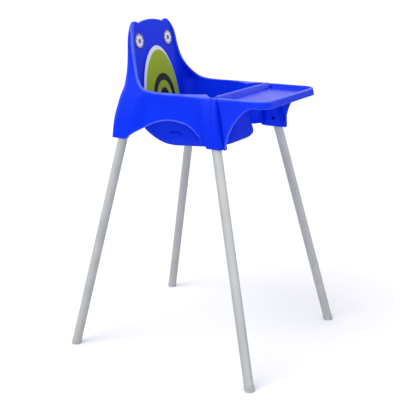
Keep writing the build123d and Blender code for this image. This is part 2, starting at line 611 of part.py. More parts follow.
def buckle_tongue(side):
    """A flat tongue with its end in the buckle and its strap sewn into the other end."""
    u = side * (TONGUE_OUTER_U - TONGUE_PLATE[0] / 2.0)
    plate = centred(u, LAP_V, WEB_W, TONGUE_PLATE)
    plate = fillet(plate.edges().filter_by(Axis.Z), 2.5)
    room_start = TONGUE_OUTER_U - WEB_HOLD - WEB_CLEARANCE
    room_end = TONGUE_OUTER_U + PAST_FACE
    room = centred(side * (room_start + room_end) / 2.0, LAP_V, WEB_W,
                   (room_end - room_start, WEB_WIDTH + 2.0 * WEB_CLEARANCE, WEB_THICK + 2.0 * WEB_CLEARANCE))
    return SEAT.location * (plate - room)


def buckle():
    """The buckle's housing: two side mouths, the crotch strap's pocket and the button's well."""
    body = centred(0.0, LAP_V, WEB_W, (BUCKLE_WIDTH, BUCKLE_LENGTH, BUCKLE_HEIGHT))
    body = fillet(body.edges(), BUCKLE_ROUND)
    inner = BUCKLE_WIDTH / 2.0 - TONGUE_INSERT - TONGUE_FIT
    outer = BUCKLE_WIDTH / 2.0 + PAST_FACE
    mouth = centred((inner + outer) / 2.0, LAP_V, WEB_W,
                    (outer - inner, TONGUE_PLATE[1] + 2.0 * TONGUE_FIT, TONGUE_PLATE[2] + 2.0 * TONGUE_FIT))
    pocket_end = BUCKLE_FRONT_V + WEB_HOLD + WEB_CLEARANCE
    pocket_start = BUCKLE_FRONT_V - PAST_FACE
    pocket = centred(0.0, (pocket_start + pocket_end) / 2.0, WEB_W,
                     (WEB_WIDTH + 2.0 * WEB_CLEARANCE, pocket_end - pocket_start,
                      WEB_THICK + 2.0 * WEB_CLEARANCE))
    well_low = button_low() - BUTTON_TRAVEL - BUTTON_CLEARANCE
    well = Pos(0.0, LAP_V, well_low) * Cylinder(BUTTON_RADIUS + BUTTON_CLEARANCE, BUCKLE_HEIGHT,
                                                align=(Align.CENTER, Align.CENTER, Align.MIN))
    return SEAT.location * (body - both_sides(mouth) - pocket - well)


def button_low():
    """Underside of the release button above the seat."""
    return BUCKLE_LIFT + BUCKLE_HEIGHT + BUTTON_PROUD - BUTTON_HEIGHT


def buckle_button():
    """The round release button in the buckle's top."""
    button = Pos(0.0, LAP_V, button_low()) * Cylinder(BUTTON_RADIUS, BUTTON_HEIGHT,
                                                      align=(Align.CENTER, Align.CENTER, Align.MIN))
    return SEAT.location * fillet(button.edges().group_by(Axis.Z)[-1], 1.2)


def strap_adjuster(side):
    """A frame that slides along the level run of a lap strap."""
    frame = centred(side * ADJUSTER_U, LAP_V, WEB_W, ADJUSTER)
    frame = fillet(frame.edges().filter_by(Axis.Z), 2.5)
    room = centred(side * ADJUSTER_U, LAP_V, WEB_W,
                   (ADJUSTER[0] + 2.0, WEB_WIDTH + 2.0 * WEB_CLEARANCE, WEB_THICK + 2.0 * WEB_CLEARANCE))
    return SEAT.location * (frame - room)


def strap_anchor_bars():
    """Three bars behind the slots that the strap ends are sewn to."""
    length, width, thick = ANCHOR_BAR
    bars = [centred(side * (LAP_END_U + thick / 2.0), LAP_V, LAP_ANCHOR_W, (thick, length, width))
            for side in (1, -1)]
    bars.append(centred(0.0, CROTCH_SLOT_V, CROTCH_END_W - thick / 2.0, (length, width, thick)))
    return Compound([SEAT.location * bar for bar in bars])


# ---------------------------------------------------------------- every sub-part by its node name
def all_parts():
    parts = {"seat_shell": seat_shell(), "tray": tray(), "leg_screws": leg_screws()}
    for name, (foot, mouth, side) in LEGS.items():
        parts["leg_" + name] = leg_tube(foot, mouth, side)
        parts["foot_" + name] = foot_cap(foot, mouth, side)
    parts["back_label"] = back_label()
    parts["crotch_strap"] = crotch_strap()
    parts["harness_buckle"] = buckle()
    parts["buckle_button"] = buckle_button()
    parts["strap_anchor_bars"] = strap_anchor_bars()
    for name, side in (("left", 1), ("right", -1)):
        parts["roundel_" + name] = roundel(side)
        parts["lap_strap_" + name] = lap_strap(side)
        parts["buckle_tongue_" + name] = buckle_tongue(side)
        parts["strap_adjuster_" + name] = strap_adjuster(side)
    return parts


def main():
    os.makedirs("parts", exist_ok=True)
    for name, shape in all_parts().items():
        export_step(shape, os.path.join("parts", name + ".step"))
        print(name, len(shape.solids()), round(shape.volume))


if __name__ == "__main__":
    main()
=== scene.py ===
"""Looks of a moulded baby high chair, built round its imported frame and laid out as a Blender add-on."""

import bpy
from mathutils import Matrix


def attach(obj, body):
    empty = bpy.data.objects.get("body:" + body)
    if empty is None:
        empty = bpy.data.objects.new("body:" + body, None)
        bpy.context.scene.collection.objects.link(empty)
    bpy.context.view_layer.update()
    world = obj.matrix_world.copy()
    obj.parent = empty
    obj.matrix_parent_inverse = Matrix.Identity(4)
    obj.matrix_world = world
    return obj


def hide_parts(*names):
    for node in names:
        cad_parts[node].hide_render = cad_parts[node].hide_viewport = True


bl_info = {
    "name": "Baby high chair",
    "version": (1, 0, 0),
    "blender": (4, 5, 0),
    "location": "View3D > Sidebar > High chair",
    "description": "Builds the moulded shell, tray, legs, films and harness of a baby high chair",
    "category": "Object",
}

import math

import bmesh
import bpy
import numpy as np
from bpy.props import FloatProperty, FloatVectorProperty, PointerProperty
from mathutils import Vector

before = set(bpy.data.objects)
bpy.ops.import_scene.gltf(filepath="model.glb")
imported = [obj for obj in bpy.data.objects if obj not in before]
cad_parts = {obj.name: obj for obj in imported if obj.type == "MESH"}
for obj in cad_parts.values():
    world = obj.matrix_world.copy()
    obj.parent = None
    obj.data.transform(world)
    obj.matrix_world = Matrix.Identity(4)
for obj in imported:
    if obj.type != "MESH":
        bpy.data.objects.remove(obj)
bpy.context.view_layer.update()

MM = 0.001
LEFT, RIGHT = 1, -1
MIRROR = np.array([-1.0, 1.0, 1.0])
FRAME_BODY, TRAY_BODY = "frame", "tray"

# ---- sizes of the moulding, in millimetres
ARM_TOP = 732.0
TRAY_SEAT = 711.5           # cut in the column tops that the tray sits in
TRAY_LINE = -107.5          # front end of the arms, behind the tray
REAR_WALL = 190.0
SHELL_BOTTOM = 606.0
SEAT_LOW = 580.0            # seat surface at its rear end
SEAT_TILT = 0.0685          # rise of the seat towards the front, per mm
SEAT_REAR = 76.0
CROWN_HEIGHT = 5.0          # height of the rolled rim above its shoulders
SIDE_WIDTH = ([580, 606, 700, 724, 733, 741, 760, 790, 825, 870, 899, 905, 911],
              [180.5, 177, 164.3, 161.1, 158, 153.5, 141, 126.5, 118.5, 111, 99, 94, 88])
COLUMN_BULGE = ([606, 657, 700, 732], [22.4, 22.7, 12.5, 0])
COLUMN_INSIDE = ([606, 657, 732], [167.8, 159.8, 136])
COLUMN_FRONT = ([606, 657, 732], [-158.4, -143, -120.5])
COLUMN_REAR = ([606, 619, 661, 698, 732], [-107, -105, -93, -81, -76])
COLUMN_ROUND = ([606, 732], [12, 6])
REAR_BULGE = ([606, 662, 700, 731], [20.6, 21, 11, 0])
REAR_GROOVE, REAR_RISE = 93.0, 44.0
REAR_CREASE = ([606, 653, 685, 718, 738, 760, 790, 830, 880, 911],
               [172, 164, 158, 151, 144, 152, 162, 170, 176, 178])
RIM_SIDE = [(-107.5, 732), (0, 732), (50, 732), (75, 733.3), (107, 740), (131.5, 760), (149, 790),
            (162, 830), (170, 878)]
EAR_RISE = ([5.0, 5.3, 5.6, 6.0, 6.08, 6.18, 6.25, 6.305],
            [875.7, 889, 897.5, 902.8, 903, 901, 898.2, 895.5])
HUMP_RISE = ([6.305, 6.36, 6.45, 6.6, 6.8, 7.0], [895.5, 898.6, 901.2, 903.6, 905.4, 906])
SIDE_ARCH = ([-85, -83, -72, -47, -12, 25, 60, 103, 141], [606, 617, 632, 651, 660.5, 661, 652.5, 631, 605])
REAR_ARCH_HALF, REAR_ARCH_RISE = 138.0, 62.0
TUB_WIDTH = ([580, 606, 650, 690, 715, 727, 733, 741, 760, 790, 825, 870, 899, 905, 911],
             [116.9, 122.4, 131.7, 140.1, 145.4, 147.9, 147, 142.5, 130, 115.5, 107.5, 100, 88, 83, 77])
TUB_BACK_LOW = ([580, 580.6, 583, 590, 600, 612, 621, 629, 637, 645, 652],
                [67.5, 72, 79.5, 92, 106.5, 123.5, 133.2, 137.6, 139.6, 140.9, 141.9])
TUB_REAR_ROUND = ([580, 620, 650, 727, 740, 760, 790, 830, 870, 911],
                  [45, 36, 27, 27, 25, 19, 10, 5, 3.5, 3.5])
TUB_FRONT, TUB_ROUND, TUB_FRONT_ROUND = -116.0, 32.0, 21.0
TUB_CORNER, TUB_KNEE = 95.0, 606.0      # plan radius in front; below this level a front line keeps its b
TUB_PLAN_ROUND = ([580, 612, 911], [63, 95, 95])
POST_HALF, OPENING_OUTER, OPENING_LOW, OPENING_ROUND = 46.0, 116.0, 626.0, 22.0
BACK_AT_ARM, BACK_LEAN = 153.6, 0.146
PAD_HALF, PAD_SPRING, PAD_TOP, PAD_RAISE = 94.0, 660.0, 840.0, 13.0
ARCH_LOW, LABEL_LOW, LABEL_SCALE = 630.0, 640.0, 0.985
ROUNDEL_X, ROUNDEL_Z, ROUNDEL_R = 72.6, 855.0, 22.0
SKIRT_WIDTH = ([604, 653, 690, 712, 732], [188, 174.8, 166, 162.9, 160])
SKIRT_ARCH = ([-222, -197, -179.5, -170, -164.5, -162.5], [712.5, 698, 674, 653, 630, 604])
TRAY_FRONT, TRAY_CORNER, TRAY_LIP, TRAY_FLOOR = -262.0, 35.0, 712.0, 720.0
TRAY_ROLL, FLANGE_WIDTH = 4.0, 13.0     # rise of the tray's rolled rim; width of its skirt's return
BAR_PROFILE = [(-127.5, 719), (-126.5, 722), (-123, 728.5), (-120.5, 732), (-118, 733.7), (-115, 734.2),
               (-111.5, 734.1), (-109.3, 733.2), (-108.3, 731), (-108, 727), (-108, 713), (-109, 712),
               (-126, 712), (-127.5, 714)]
BAR_MIDDLE = [-117.8, 722.5]
BAR_ENDS = [(152.6, 1.0), (152.6, 0.28), (152.3, 0.14), (151.6, 0.05), (150.5, 0.01)]   # x, share drawn in
FEET = {"front": ((267.5, -283.0, 0.0), (183.6, -134.4, 609.0)),
        "rear": ((262.0, 283.0, 0.0), (181.8, 156.0, 607.0))}
TUBE_R, SLEEVE_R = 12.7, 15.3
SLEEVE = [(TUBE_R + 0.2, 650), (TUBE_R + 0.2, 607), (TUBE_R + 0.8, 606), (SLEEVE_R - 0.8, 606),
          (SLEEVE_R, 607), (SLEEVE_R, 650)]
# An end cap's radius at heights above the floor, then at lengths up the leg.
FOOT_LOW = [(0.0, 0.0), (6.0, 0.0), (11.2, 0.0), (12.5, 0.5), (13.2, 1.6), (13.4, 3.0)]
FOOT_HIGH = [(13.4, 12.0), (13.4, 14.6), (13.3, 15.4), (13.1, 15.9), (12.75, 16.0), (12.2, 16.0)]
# An arm's front end: levels of its straight part, its roll, then steps inward and up on the way down.
NOSE_LEVELS, NOSE_DRAW, NOSE_RISE = (709, 712, 716, 720, 724, 727), 3.2, 4.8
NOSE_RETURN = [(4.4, 4.6), (5.2, 3.2), (5.4, 0), (5.4, -17)]
WEB_Y, WEB_LOW, WEB_DIP = -95.0, 621.0, 9.0
LABEL_ARCHES = [(56, 690, 762, 0.98), (40, 690, 742, 0.975), (26, 684, 722, 0.96)]
PETAL_LOW, PETAL_SWELL = 11.8, 5.2
ROUNDEL_RINGS = [(6.2, 5.9), (2.2, 2.0), (19.3, 19.7)]      # where each ring's ink is nil and full
SEAT_ORIGIN = np.array([0.0, 0.0, 585.202])
SEAT_V = np.array([0.0, 0.997665, -0.068293])
SEAT_W = np.array([0.0, 0.068293, 0.997665])
LAP_V, WEB_W = 22.0, 6.6
BAND_HALF, BAND_ROUND = 12.4, 0.35
TWILL_MM, WARP_MM = 1.6, 1.3
LAP_LINE = [(30, LAP_V, WEB_W), (72, LAP_V, WEB_W), (104, LAP_V, 34), (131, LAP_V, 34)]
CROTCH_LINE = [(0, 6, WEB_W), (0, -12, WEB_W), (0, -32, 1.3), (0, -66, 1.3), (0, -66, -8)]
LAP_BEND, CROTCH_BEND = 4.2, 3.8

# ---- painted highlight along rims, beads, lips and noses: the share of a paler blue, row by row
BEAD_PAINTED_HIGHLIGHT = [0.5, 0.8, 0.7, 0.3, 0.0]
RIM_PAINTED_HIGHLIGHT = [0.2, 0.5, 0.9, 1.0, 0.8, 0.55, 0.5, 0.35, 0.2, 0.1, 0, 0]
NOSE_PAINTED_HIGHLIGHT = [0, 0, 0, 0, 0, 0.2, 0.4, 0.6, 0.9, 1, 0.8, 0.6, 0.4, 0, 0, 0]
LIP_PAINTED_HIGHLIGHT = [0.7, 0.5, 0.1]
ROLL_PAINTED_HIGHLIGHT = [0.2, 0.5, 0.9, 1, 0.8, 0.6, 0.5, 0.4, 0.3, 0.1, 0, 0]

# ---- the stage, in metres and degrees
CAMERA_PLACE = (-2.05805, -1.17776, 1.07122)
CAMERA_AZIMUTH, CAMERA_ELEVATION, LENS_MM, SENSOR_MM = -59.79, 15.66, 77.2, 36.0
SUN_STRENGTH, SUN_SPREAD, SUN_RUN = 1.25, 40, (0.8, -0.3, -1.1)
STUDIO_STRENGTH, FLOOR_HALF = 0.9, 90


# ---- mathematics of the surfaces
def smooth(x, table):
    """A curve through knots: cubic pieces whose slope at each knot is the mean of the slopes beside it."""
    knots, values = (np.asarray(part, float) for part in table)
    slope = np.gradient(values, knots)
    x = np.clip(np.asarray(x, float), knots[0], knots[-1])
    i = np.clip(np.searchsorted(knots, x, side="right") - 1, 0, len(knots) - 2)
    run = knots[i + 1] - knots[i]
    t = (x - knots[i]) / run
    return ((1 + 2 * t) * (1 - t) ** 2 * values[i] + t * (1 - t) ** 2 * run * slope[i]
            + t * t * (3 - 2 * t) * values[i + 1] + t * t * (t - 1) * run * slope[i + 1])


def ease(t):
    """0 below 0, 1 above 1, and a smooth S between."""
    t = np.clip(t, 0.0, 1.0)
    return t * t * (3 - 2 * t)


def spaced(values, metric, count):
    """Samples of several arrays at equal steps of a growing metric."""
    at = np.linspace(metric[0], metric[-1], count)
    return [np.interp(at, metric, v) for v in values]


def grow(*lines):
    """Length run so far, summed over several 3-D lines."""
    steps = sum(np.linalg.norm(np.diff(line, axis=0), axis=1) for line in lines)
    return np.concatenate([[0.0], np.cumsum(steps)])


def around(count):
    """Angles of equal steps round a full turn."""
    return np.linspace(0, 2 * math.pi, count + 1)[:-1]


def inward(turn):
    """The level direction into an outline whose corner stands at this angle."""
    return -np.stack([np.cos(turn), np.sin(turn), 0 * turn], -1)


def half_outline(b, half, front, rear, r_front, r_rear):
    """Half of a rounded rectangle: b runs 0-1 across the front, 1-2 round its corner, 2-3 along the side,
    3-4 round the rear corner and 4-5 across the rear to the middle."""
    t = [np.clip(b - k, 0, 1) for k in range(5)]
    turn = math.pi / 2 * (t[1] + t[3] - 1)
    radius = r_front + (r_rear - r_front) * t[2]
    cx = (half - radius) * t[0] * (1 - t[4])
    cy = (front + r_front) * (1 - t[2]) + (rear - r_rear) * t[2]
    return cx + radius * np.cos(turn), cy + radius * np.sin(turn)


def back_y(z):
    """Front face of the leaning back panel."""
    return BACK_AT_ARM + BACK_LEAN * (z - ARM_TOP)


def side_reach(y, z):
    """Outside of the side panel with both leg columns swelling out of it."""
    column = 1 - ease((y - smooth(z, COLUMN_REAR) + 8) / 16)
    t = np.clip((y - REAR_GROOVE) / REAR_RISE, 0, 1)
    rear = np.sin(math.pi / 2 * t)
    return smooth(z, SIDE_WIDTH) + smooth(z, COLUMN_BULGE) * column + smooth(z, REAR_BULGE) * rear


def outer(q, z):
    """Outside of the shell at height z. q runs 0-1 forward along the column's inner side, 1-2 round its
    corner, 2-3 across its front, 3-4 round its outer corner, 4-5 back along the side, 5-6 round the rear
    corner and 6-7 across the rear to the middle."""
    t = [np.clip(q - k, 0, 1) for k in range(7)]
    turn = math.pi / 2 * (t[1] + t[3] + t[5] - 2)
    corner = smooth(z, COLUMN_ROUND)
    crease = smooth(z, REAR_CREASE)
    front_y = smooth(z, COLUMN_FRONT) + corner
    inner_end = front_y + (TRAY_LINE + 8 - front_y) * (1 - t[0])
    radius = corner + (REAR_WALL - crease - corner) * t[4]
    cy = inner_end + (crease - front_y) * t[4]
    y = cy + radius * np.sin(turn)
    inside = smooth(z, COLUMN_INSIDE) + corner
    across = side_reach(np.minimum(y, crease), z) - radius
    cx = (inside + (across - inside) * t[2]) * (1 - t[6])
    return np.stack([cx + radius * np.cos(turn), y, z + 0 * y], -1)


def tub_round(w):
    """Half-width of the tub with its round lower edge, at level w."""
    level = SEAT_LOW + TUB_ROUND
    wall = smooth(w, TUB_WIDTH)
    centre = smooth(level, TUB_WIDTH) - TUB_ROUND * math.hypot(1, 0.211)
    arc = centre + np.sqrt(np.maximum(TUB_ROUND ** 2 - (level - np.minimum(w, level)) ** 2, 0))
    return np.where(w < level - 0.206 * TUB_ROUND, arc, wall)


def tub_front(w):
    """Inside of the tub's front wall with its round lower edge."""
    drop = np.clip(SEAT_LOW + TUB_FRONT_ROUND - w, 0, TUB_FRONT_ROUND)
    return TUB_FRONT + TUB_FRONT_ROUND - np.sqrt(TUB_FRONT_ROUND ** 2 - drop ** 2)


def tub_back(w):
    """The seat's rear slope and the back panel above it."""
    return np.where(w < 652, smooth(w, TUB_BACK_LOW), back_y(w))


def tub(b, w):
    """Inside of the tub at level w, which tilts with the seat near the bottom."""
    x, y = half_outline(b, tub_round(w), tub_front(w), tub_back(w), smooth(w, TUB_PLAN_ROUND),
                        smooth(w, TUB_REAR_ROUND))
    tilt = 1 - ease((w - SEAT_LOW) / 60)
    return np.stack([x, y, w + SEAT_TILT * (SEAT_REAR - y) * tilt], -1)


def front_b(x, w):
    """The b at which the tub's front stands at x."""
    radius = smooth(w, TUB_PLAN_ROUND)
    flat = np.maximum(smooth(w, TUB_WIDTH) - radius, 1.0)
    bend = 1 + np.arcsin(np.clip((x - flat) / radius, 0, 1)) * 2 / math.pi
    return np.where(x <= flat, x / flat, bend)


def side_edge(y):
    """Lower edge of the side panel, arched between the columns."""
    arch = np.where((y > -85) & (y < 141), smooth(y, SIDE_ARCH), SHELL_BOTTOM)
    return np.maximum(arch, SHELL_BOTTOM)


def rear_edge(x):
    """Lower edge of the rear wall, arched between the rear columns."""
    return SHELL_BOTTOM + REAR_ARCH_RISE * np.sqrt(np.clip(1 - (x / REAR_ARCH_HALF) ** 2, 0, 1))


def lower_edge(q):
    """Height of the shell's lower edge along the outline."""
    z = np.full_like(q, SHELL_BOTTOM + 24)
    for _ in range(3):
        place = outer(q, z)
        side = side_edge(place[:, 1])
        rear = rear_edge(place[:, 0])
        z = np.where(q < 4, SHELL_BOTTOM, np.where(q < 5.02, side, np.where(q < 6, SHELL_BOTTOM, rear)))
    return z


# ---- meshes
def grid_quads(rows, cols, closed=False, first=0):
    """Quads of a grid whose points are numbered row by row from first; closed joins its two ends."""
    i = np.arange(rows - 1)[:, None] * cols
    j = np.arange(cols if closed else cols - 1)[None, :]
    k = (j + 1) % cols
    return (np.stack([i + j, i + k, i + cols + k, i + cols + j], -1) + first).reshape(-1, 4)


def both_halves(grid, closed=False):
    """A left half-grid joined to its mirror image; the last column lies on the middle plane."""
    mirrored = grid[:, ::-1] * MIRROR
    return np.concatenate([grid, mirrored[:, 1:-1] if closed else mirrored[:, 1:]], axis=1)


def pair(grid, *highlight_share):
    """A grid and its mirror image, whose faces look the same way."""
    return [(grid, False, *highlight_share), (grid[:, ::-1] * MIRROR, False, *highlight_share)]


def make_piece(name, grids, material, body, nodes=(), flip=False, uv=None):
    """A mesh from (grid of points in mm, closed, painted highlight by row or by point) sets, with equal
    points merged.
    The painted highlight share is kept as a point attribute, and flip turns every face round."""
    points, faces, highlight_share, first = [], [], [], 0
    for grid, closed, *painted_share in grids:
        rows, cols = grid.shape[:2]
        points.append(grid.reshape(-1, 3))
        faces.append(grid_quads(rows, cols, closed, first))
        painted_highlight = np.zeros((rows, cols))
        if painted_share:
            painted_highlight += painted_share[0] if np.ndim(painted_share[0]) == 2 else np.asarray(painted_share[0])[:, None]
        highlight_share.append(painted_highlight.ravel())
        first += rows * cols
    points, faces = np.concatenate(points) * MM, np.concatenate(faces)
    mesh = bpy.data.meshes.new(name)
    mesh.from_pydata(points.tolist(), [], (faces[:, ::-1] if flip else faces).tolist())
    highlight_share = np.concatenate(highlight_share).astype(np.float32)
    mesh.attributes.new("painted_highlight", "FLOAT", "POINT").data.foreach_set("value", highlight_share)
    if uv is not None:
        layer = mesh.uv_layers.new(name="UVMap")
        loops = np.empty(len(mesh.loops), np.int32)
        mesh.loops.foreach_get("vertex_index", loops)
        layer.data.foreach_set("uv", uv.reshape(-1, 2)[loops].astype(np.float32).ravel())
    work = bmesh.new()
    work.from_mesh(mesh)
    bmesh.ops.remove_doubles(work, verts=work.verts, dist=2e-6)
    bmesh.ops.dissolve_degenerate(work, edges=work.edges, dist=1e-7)
    work.to_mesh(mesh)
    work.free()
    mesh.polygons.foreach_set("use_smooth", np.ones(len(mesh.polygons), bool))
    obj = bpy.data.objects.new(name, mesh)
    bpy.context.scene.collection.objects.link(obj)
    obj.data.materials.append(material)
    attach(obj, body)
    if nodes:
        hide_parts(*nodes)
    return obj


def thicken(obj, wall, bevel=0.0):
    """Gives a sheet its wall on its back side, and softens the cut edges."""
    solid = obj.modifiers.new("Wall", "SOLIDIFY")
    solid.thickness = wall * MM
    solid.offset = -1.0
    solid.use_rim = True
    if bevel:
        edge = obj.modifiers.new("Edge", "BEVEL")
        edge.width = bevel * MM
        edge.segments = 2
        edge.limit_method = "ANGLE"
        edge.angle_limit = math.radians(60)
        edge.use_clamp_overlap = True


# ---- materials
RGBA = {"out": 2, "data_type": "RGBA"}      # the Mix node's form for colours: inputs 0, 6 and 7


def linear(hex_colour):
    """An sRGB hex colour as linear RGBA."""
    s = np.array([int(hex_colour[i:i + 2], 16) for i in (1, 3, 5)]) / 255.0
    rgb = np.where(s <= 0.04045, s / 12.92, ((s + 0.055) / 1.055) ** 2.4)
    return (*rgb.tolist(), 1.0)


def feed(tree, node, inputs):
    """Sets or links a node's inputs, named in a dict or in order."""
    for key, value in inputs.items() if isinstance(inputs, dict) else enumerate(inputs):
        if isinstance(value, bpy.types.NodeSocket):
            tree.links.new(value, node.inputs[key])
        else:
            node.inputs[key].default_value = value


def add(tree, kind, inputs=(), out=0, **settings):
    """Adds a node with its settings, feeds its inputs and gives one of its outputs. A kind in capitals is
    an operation of the Math node."""
    if kind.isupper():
        kind, settings = "Math", {"operation": kind}
    made = tree.nodes.new("ShaderNode" + kind)
    for key, value in settings.items():
        setattr(made, key, value)
    feed(tree, made, inputs)
    return made.outputs[out]


def new_material(name):
    """A new material: its tree, its shader and the object coordinates."""
    material = bpy.data.materials.new(name)
    material.use_nodes = True
    tree = material.node_tree
    return material, tree, tree.nodes["Principled BSDF"], add(tree, "TexCoord", out="Object")


def drift(tree, place, size_mm, detail, low=0.0, high=1.0, edge=0.3):
    """A slow change from low to high in blotches about size_mm across: the middle of a noise, stretched."""
    blotches = add(tree, "TexNoise", {"Vector": place, "Scale": 1000.0 / size_mm, "Detail": detail})
    return add(tree, "MapRange", (blotches, edge, 1 - edge, low, high))


def grain(tree, place, size_mm, depth_mm, strength):
    """Relief of a mould's or film's grain: a noise size_mm across, depth_mm deep."""
    height = add(tree, "TexNoise", {"Vector": place, "Scale": 1000.0 / size_mm, "Detail": 2.0})
    return add(tree, "Bump", {"Height": height, "Distance": depth_mm * MM, "Strength": strength})


def wave(tree, phase):
    """Half of one plus the sine of a phase, 0 to 1."""
    sine = add(tree, "SINE", (phase,))
    raised = add(tree, "ADD", (sine, 1.0))
    return add(tree, "MULTIPLY", (raised, 0.5))


def moulded_polypropylene(name, base, deep, pale, rough_low, rough_high, gloss):
    """Injection-moulded polypropylene: a saturated pigment, a satin skin from a fine spark-eroded mould,
    slow drifts of tone where the melt cooled, and a painted highlight that lays a paler blue along rims and
    edges."""
    material, tree, shader, place = new_material(name)
    tone = drift(tree, place, 170, 3, edge=0.35)
    colour = add(tree, "Mix", {0: tone, 6: base, 7: deep}, **RGBA)
    # Painted highlight: the mesh's highlight share, broken into blotches, mixes the pale blue into the
    # colour.
    painted_highlight = add(tree, "Attribute", out="Fac", attribute_name="painted_highlight")
    painted_share = add(tree, "MULTIPLY", (painted_highlight, drift(tree, place, 30, 4, 0.45, 0.85)))
    skin = add(tree, "TexNoise", {"Vector": place, "Scale": 1000.0 / 26, "Detail": 5, "Roughness": 0.65})
    feed(tree, shader, {
        "Base Color": add(tree, "Mix", {0: painted_share, 6: colour, 7: pale}, **RGBA),
        "Roughness": add(tree, "MapRange", (skin, 0.3, 0.7, rough_low, rough_high)),
        "IOR": 1.49,
        "Specular IOR Level": gloss,
        "Specular Tint": linear("#a8baff"),
        # Eroded grain is 0.1 mm across; drawn at 0.9 mm so that it shows.
        "Normal": grain(tree, place, 0.9, 0.03, 0.2)})
    return material


def anodised_aluminium(name):
    """Drawn aluminium tube, etched and anodised: a satin silver grey with faint draw lines. The lines run
    upright, so they cross a splayed leg at a slant."""
    material, tree, shader, place = new_material(name)
    stretched = add(tree, "Mapping", {"Vector": place, "Scale": (1.0, 1.0, 0.02)})
    lines = add(tree, "TexNoise", {"Vector": stretched, "Scale": 1000.0 / 1.2, "Detail": 3})
    tones = {0: drift(tree, place, 60, 3), 6: linear("#d6d9d8"), 7: linear("#c9cccb")}
    silver = add(tree, "Mix", tones, **RGBA)
    drawn = add(tree, "MapRange", (lines, 0.35, 0.75, 0.0, 0.22))
    feed(tree, shader, {
        "Base Color": add(tree, "Mix", {0: drawn, 6: silver, 7: linear("#979b9a")}, **RGBA),
        "Metallic": 0.35,
        "Roughness": add(tree, "MapRange", (lines, 0.3, 0.7, 0.34, 0.46)),
        "Normal": add(tree, "Bump", {"Height": lines, "Distance": 0.03 * MM, "Strength": 0.3})})
    return material


def plain_plastic(name, base, deep, rough, grain_mm):
    """A small moulded part: one pigment, a grained mould skin and slight drifts of tone and gloss."""
    material, tree, shader, place = new_material(name)
    feed(tree, shader, {
        "Base Color": add(tree, "Mix", {0: drift(tree, place, 14, 4), 6: base, 7: deep}, **RGBA),
        "Roughness": drift(tree, place, 5, 4, rough - 0.06, rough + 0.06),
        "Normal": grain(tree, place, grain_mm, 0.05, 0.4)})
    return material


def blackened_steel(name):
    """Black-oxide screw steel: dark grey, slightly blue, with a fine crystalline mottle."""
    material, tree, shader, place = new_material(name)
    mottle = add(tree, "TexNoise", {"Vector": place, "Scale": 1000.0 / 1.5, "Detail": 4})
    tone = add(tree, "MapRange", (mottle, 0.35, 0.65, 0, 1))
    feed(tree, shader, {
        "Base Color": add(tree, "Mix", {0: tone, 6: linear("#3a3d44"), 7: linear("#24272c")}, **RGBA),
        "Metallic": 1.0,
        "Roughness": add(tree, "MapRange", (mottle, 0.3, 0.7, 0.25, 0.4))})
    return material


def polyester_webbing(name, colour, thread):
    """Woven polyester belt: a twill slanting over a fine warp, with painted shade darkening the colour
    between
    the threads. Its UV holds millimetres: along the band and across it."""
    material, tree, shader, _ = new_material(name)
    along, across, _ = add(tree, "SeparateXYZ", (add(tree, "UVMap", uv_map="UVMap"),)).node.outputs
    forward = add(tree, "MULTIPLY", (along, 2 * math.pi / TWILL_MM))
    sideways = add(tree, "MULTIPLY", (across, math.pi / TWILL_MM))
    ribs = wave(tree, add(tree, "ADD", (forward, sideways)))
    warp = wave(tree, add(tree, "MULTIPLY", (across, 2 * math.pi / WARP_MM)))
    half_warp = add(tree, "MULTIPLY", (warp, 0.5))
    shaded = add(tree, "ADD", (half_warp, 0.5))
    weave = add(tree, "MULTIPLY", (ribs, shaded))
    feed(tree, shader, {
        # Painted shade: the weave's valleys between the threads take the darker colour.
        "Base Color": add(tree, "Mix", {0: weave, 6: colour, 7: thread}, **RGBA),
        "Roughness": 0.78,
        "Sheen Weight": 0.25,
        "Normal": add(tree, "Bump", {"Height": weave, "Distance": 0.35 * MM, "Strength": 0.8})})
    return material


def printed_back_film(name, lime, pale, dark):
    """Printed vinyl film on the raised arch: lime ink with a pale border and dark nested arches, under a
    slightly uneven face. Everything is drawn from x and z on the arch."""
    material, tree, shader, place = new_material(name)
    x, _, z = add(tree, "SeparateXYZ", (place,)).node.outputs

    def arch(half, spring, top):
        """Below 1 inside an arch on straight sides."""
        above = add(tree, "SUBTRACT", (z, spring * MM))
        up = add(tree, "MAXIMUM", (above, 0.0))
        out = add(tree, "ABSOLUTE", (add(tree, "DIVIDE", (x, half * MM)),))
        shares = (out, add(tree, "DIVIDE", (up, (top - spring) * MM)))
        squares = [add(tree, "POWER", (share, 2.0)) for share in shares]
        return add(tree, "SQRT", (add(tree, "ADD", squares),))

    ink = add(tree, "Mix", {0: drift(tree, place, 22, 4), 6: lime, 7: linear("#93aa03")}, **RGBA)
    border = add(tree, "MapRange", (arch(PAD_HALF, PAD_SPRING, PAD_TOP), 0.92, 0.93, 0, 1))
    colour = add(tree, "Mix", {0: border, 6: ink, 7: pale}, **RGBA)
    for (half, spring, top, inside), fill in zip(LABEL_ARCHES, (dark, ink, dark)):
        mask = add(tree, "MapRange", (arch(half, spring, top), 1.0, inside, 0, 1))
        colour = add(tree, "Mix", {0: mask, 6: colour, 7: fill}, **RGBA)
    feed(tree, shader, {
        "Base Color": colour,
        "Roughness": drift(tree, place, 12, 3, 0.36, 0.46),
        "Specular IOR Level": 0.25,
        "Normal": grain(tree, place, 6, 0.02, 0.15)})
    return material


